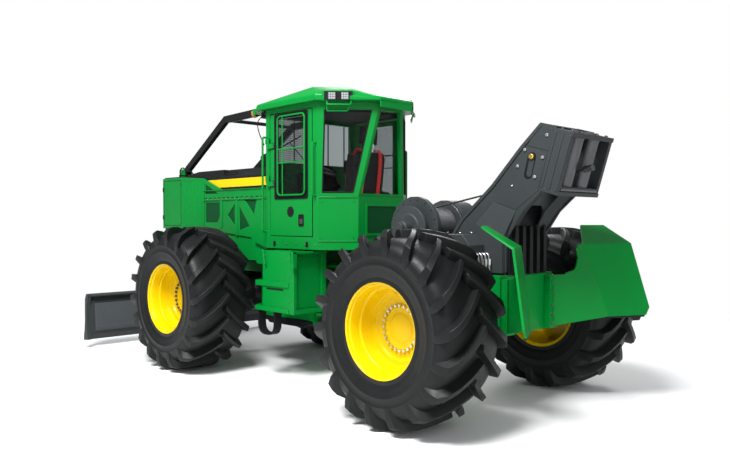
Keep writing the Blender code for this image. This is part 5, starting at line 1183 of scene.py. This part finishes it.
for word, x in (("left", 0.285), ("right", -0.285)):
    stick = [tube([(x, -0.42, 2.25), (x, -0.44, 2.36)], 0.012, 12, (0, 1, 0)),
             lathe([(2.35, 0.0), (2.35, 0.016), (2.38, 0.026), (2.43, 0.024), (2.45, 0.012),
                    (2.452, 0.0)], "Z", (x, -0.442, 0), 20)]
    piece("joystick_" + word, merged(stick), "front", **SEAL)
for word, x in (("left", 0.135), ("right", -0.135)):
    line = flowing([(x, y, z) for y, z in ((-0.085, 2.080), (-0.090, 2.350), (0.000, 2.600), (0.090, 2.665),
                                           (0.156, 2.600), (0.148, 2.400), (0.090, 2.000))], 48)
    piece("belt_" + word, strap(line, 0.027, 0.003, (1, 0, 0)), "front", CLOTH, look="red_webbing")
screen_box = merged([block(-0.50, -0.30, -0.66, -0.63, 2.44, 2.60),
                     block(-0.41, -0.39, -0.64, -0.60, 2.20, 2.45)])
piece("monitor", screen_box, "front", PLASTIC, bevel=0.008)
piece("headliner", block(-0.66, 0.66, -0.86, 0.02, 3.118, 3.140), "front", PLASTIC, look="headliner",
      bevel=0.006)
piece("rear_locker", block(-0.28, 0.28, 0.165, 0.290, 1.555, 2.055), "front", PLASTIC, look="grey_plastic",
      bevel=0.012)
wheel_ring = lathe([(0.0, 0.150), (0.012, 0.165), (0.0, 0.180), (-0.012, 0.165), (0.0, 0.150)], "Z",
                   (0, 0, 0), 40)
hub = lathe([(-0.02, 0.0), (-0.02, 0.03), (0.012, 0.03), (0.016, 0.0)], "Z", (0, 0, 0), 20)
spokes = [tube([(0, 0, 0), (0.160 * math.cos(a), 0.160 * math.sin(a), 0)], 0.008, 8)
          for a in (0.5, 2.6, 4.7)]
whole = merged([wheel_ring, hub] + spokes)
piece("steering_wheel", set_at(whole, (0.0, -0.690, 2.460), -28.0), "front", **SEAL)
print("cab interior done,", len(PIECES), "pieces")

# %% [markdown]
# ## Floor, light and camera
# A pale sweep under a large soft key light from the upper left, a broad fill and a rim light from behind
# keep the shadows soft, as in a studio. The camera stands behind the machine's left corner, at a person's
# height, with a normal lens.

# %% Floor
PAPER_NEAR, PAPER_FAR = 3.5, 9.0


def floor_shape():
    """A wide level sheet just under the tyres."""
    x, y = np.meshgrid(np.linspace(-60, 60, 41), np.linspace(-60, 60, 41), indexing="ij")
    return grid(np.stack([x, y, np.full_like(x, -0.001)], -1), wrap_v=False, caps=False)


def paper_finish():
    """White paper near the machine that fades into the bright backdrop with distance.

    The share of backdrop grows smoothly from 0 at PAPER_NEAR to 1 at PAPER_FAR from the middle.
    """
    material = finish_of("floor_white", (0.90, 0.90, 0.90), 0.75, tone=0.01, patch=0.5, bump=0.01)
    nodes = material.node_tree
    where = nodes.nodes.new("ShaderNodeTexCoord")
    away = nodes.nodes.new("ShaderNodeVectorMath")
    away.operation = "LENGTH"
    nodes.links.new(where.outputs["Object"], away.inputs[0])
    share = nodes.nodes.new("ShaderNodeMapRange")
    share.interpolation_type = "SMOOTHSTEP"
    share.inputs["From Min"].default_value = PAPER_NEAR
    share.inputs["From Max"].default_value = PAPER_FAR
    nodes.links.new(away.outputs["Value"], share.inputs["Value"])
    bright = nodes.nodes.new("ShaderNodeEmission")
    blend = nodes.nodes.new("ShaderNodeMixShader")
    nodes.links.new(share.outputs["Result"], blend.inputs[0])
    nodes.links.new(nodes.nodes["Principled BSDF"].outputs[0], blend.inputs[1])
    nodes.links.new(bright.outputs[0], blend.inputs[2])
    nodes.links.new(blend.outputs[0], nodes.nodes["Material Output"].inputs["Surface"])
    return material


corners, faces = floor_shape()
mesh = bpy.data.meshes.new("studio_floor")
mesh.from_pydata(corners.tolist(), [], faces)
floor = bpy.data.objects.new("studio_floor", mesh)
bpy.context.scene.collection.objects.link(floor)
mesh.materials.append(paper_finish())
print("floor ready")

# %% Lights and camera
def area_light(name, where, target, size, power):
    """A square soft light that faces its target."""
    lamp = bpy.data.lights.new(name, "AREA")
    lamp.shape = "SQUARE"
    lamp.size = size
    lamp.energy = power
    thing = bpy.data.objects.new(name, lamp)
    bpy.context.scene.collection.objects.link(thing)
    thing.location = where
    thing.rotation_euler = (Vector(target) - Vector(where)).to_track_quat("-Z", "Y").to_euler()
    return thing


MIDDLE = (0.0, 0.0, 1.4)
area_light("key", (6.5, 3.0, 10.0), MIDDLE, 4.0, 2600)
area_light("fill", (4.0, 12.0, 5.0), MIDDLE, 9.0, 330)
area_light("back", (-9.0, -6.0, 8.0), MIDDLE, 6.0, 700)
world = bpy.data.worlds.new("studio")
bpy.context.scene.world = world
world.use_nodes = True
tree = world.node_tree
light = tree.nodes["Background"]
light.inputs["Color"].default_value = (0.93, 0.96, 1.0, 1.0)
light.inputs["Strength"].default_value = 0.42
backdrop = tree.nodes.new("ShaderNodeBackground")
backdrop.inputs["Color"].default_value = (1.0, 1.0, 1.0, 1.0)
backdrop.inputs["Strength"].default_value = 1.0
seen = tree.nodes.new("ShaderNodeLightPath")
choice = tree.nodes.new("ShaderNodeMixShader")
tree.links.new(seen.outputs["Is Camera Ray"], choice.inputs[0])
tree.links.new(light.outputs[0], choice.inputs[1])
tree.links.new(backdrop.outputs[0], choice.inputs[2])
tree.links.new(choice.outputs[0], tree.nodes["World Output"].inputs["Surface"])
bpy.context.scene.view_settings.view_transform = "Standard"

lens = bpy.data.cameras.new("camera")
lens.sensor_width = 36.0
lens.lens = 36.06
camera = bpy.data.objects.new("camera", lens)
bpy.context.scene.collection.objects.link(camera)
camera.location = (6.0196, 6.2372 + PIVOT_Y, 1.8288)
camera.rotation_euler = Vector((-0.6966, -0.7171, -0.0221)).to_track_quat("-Z", "Y").to_euler()
bpy.context.scene.camera = camera
print(len(PIECES), "pieces")
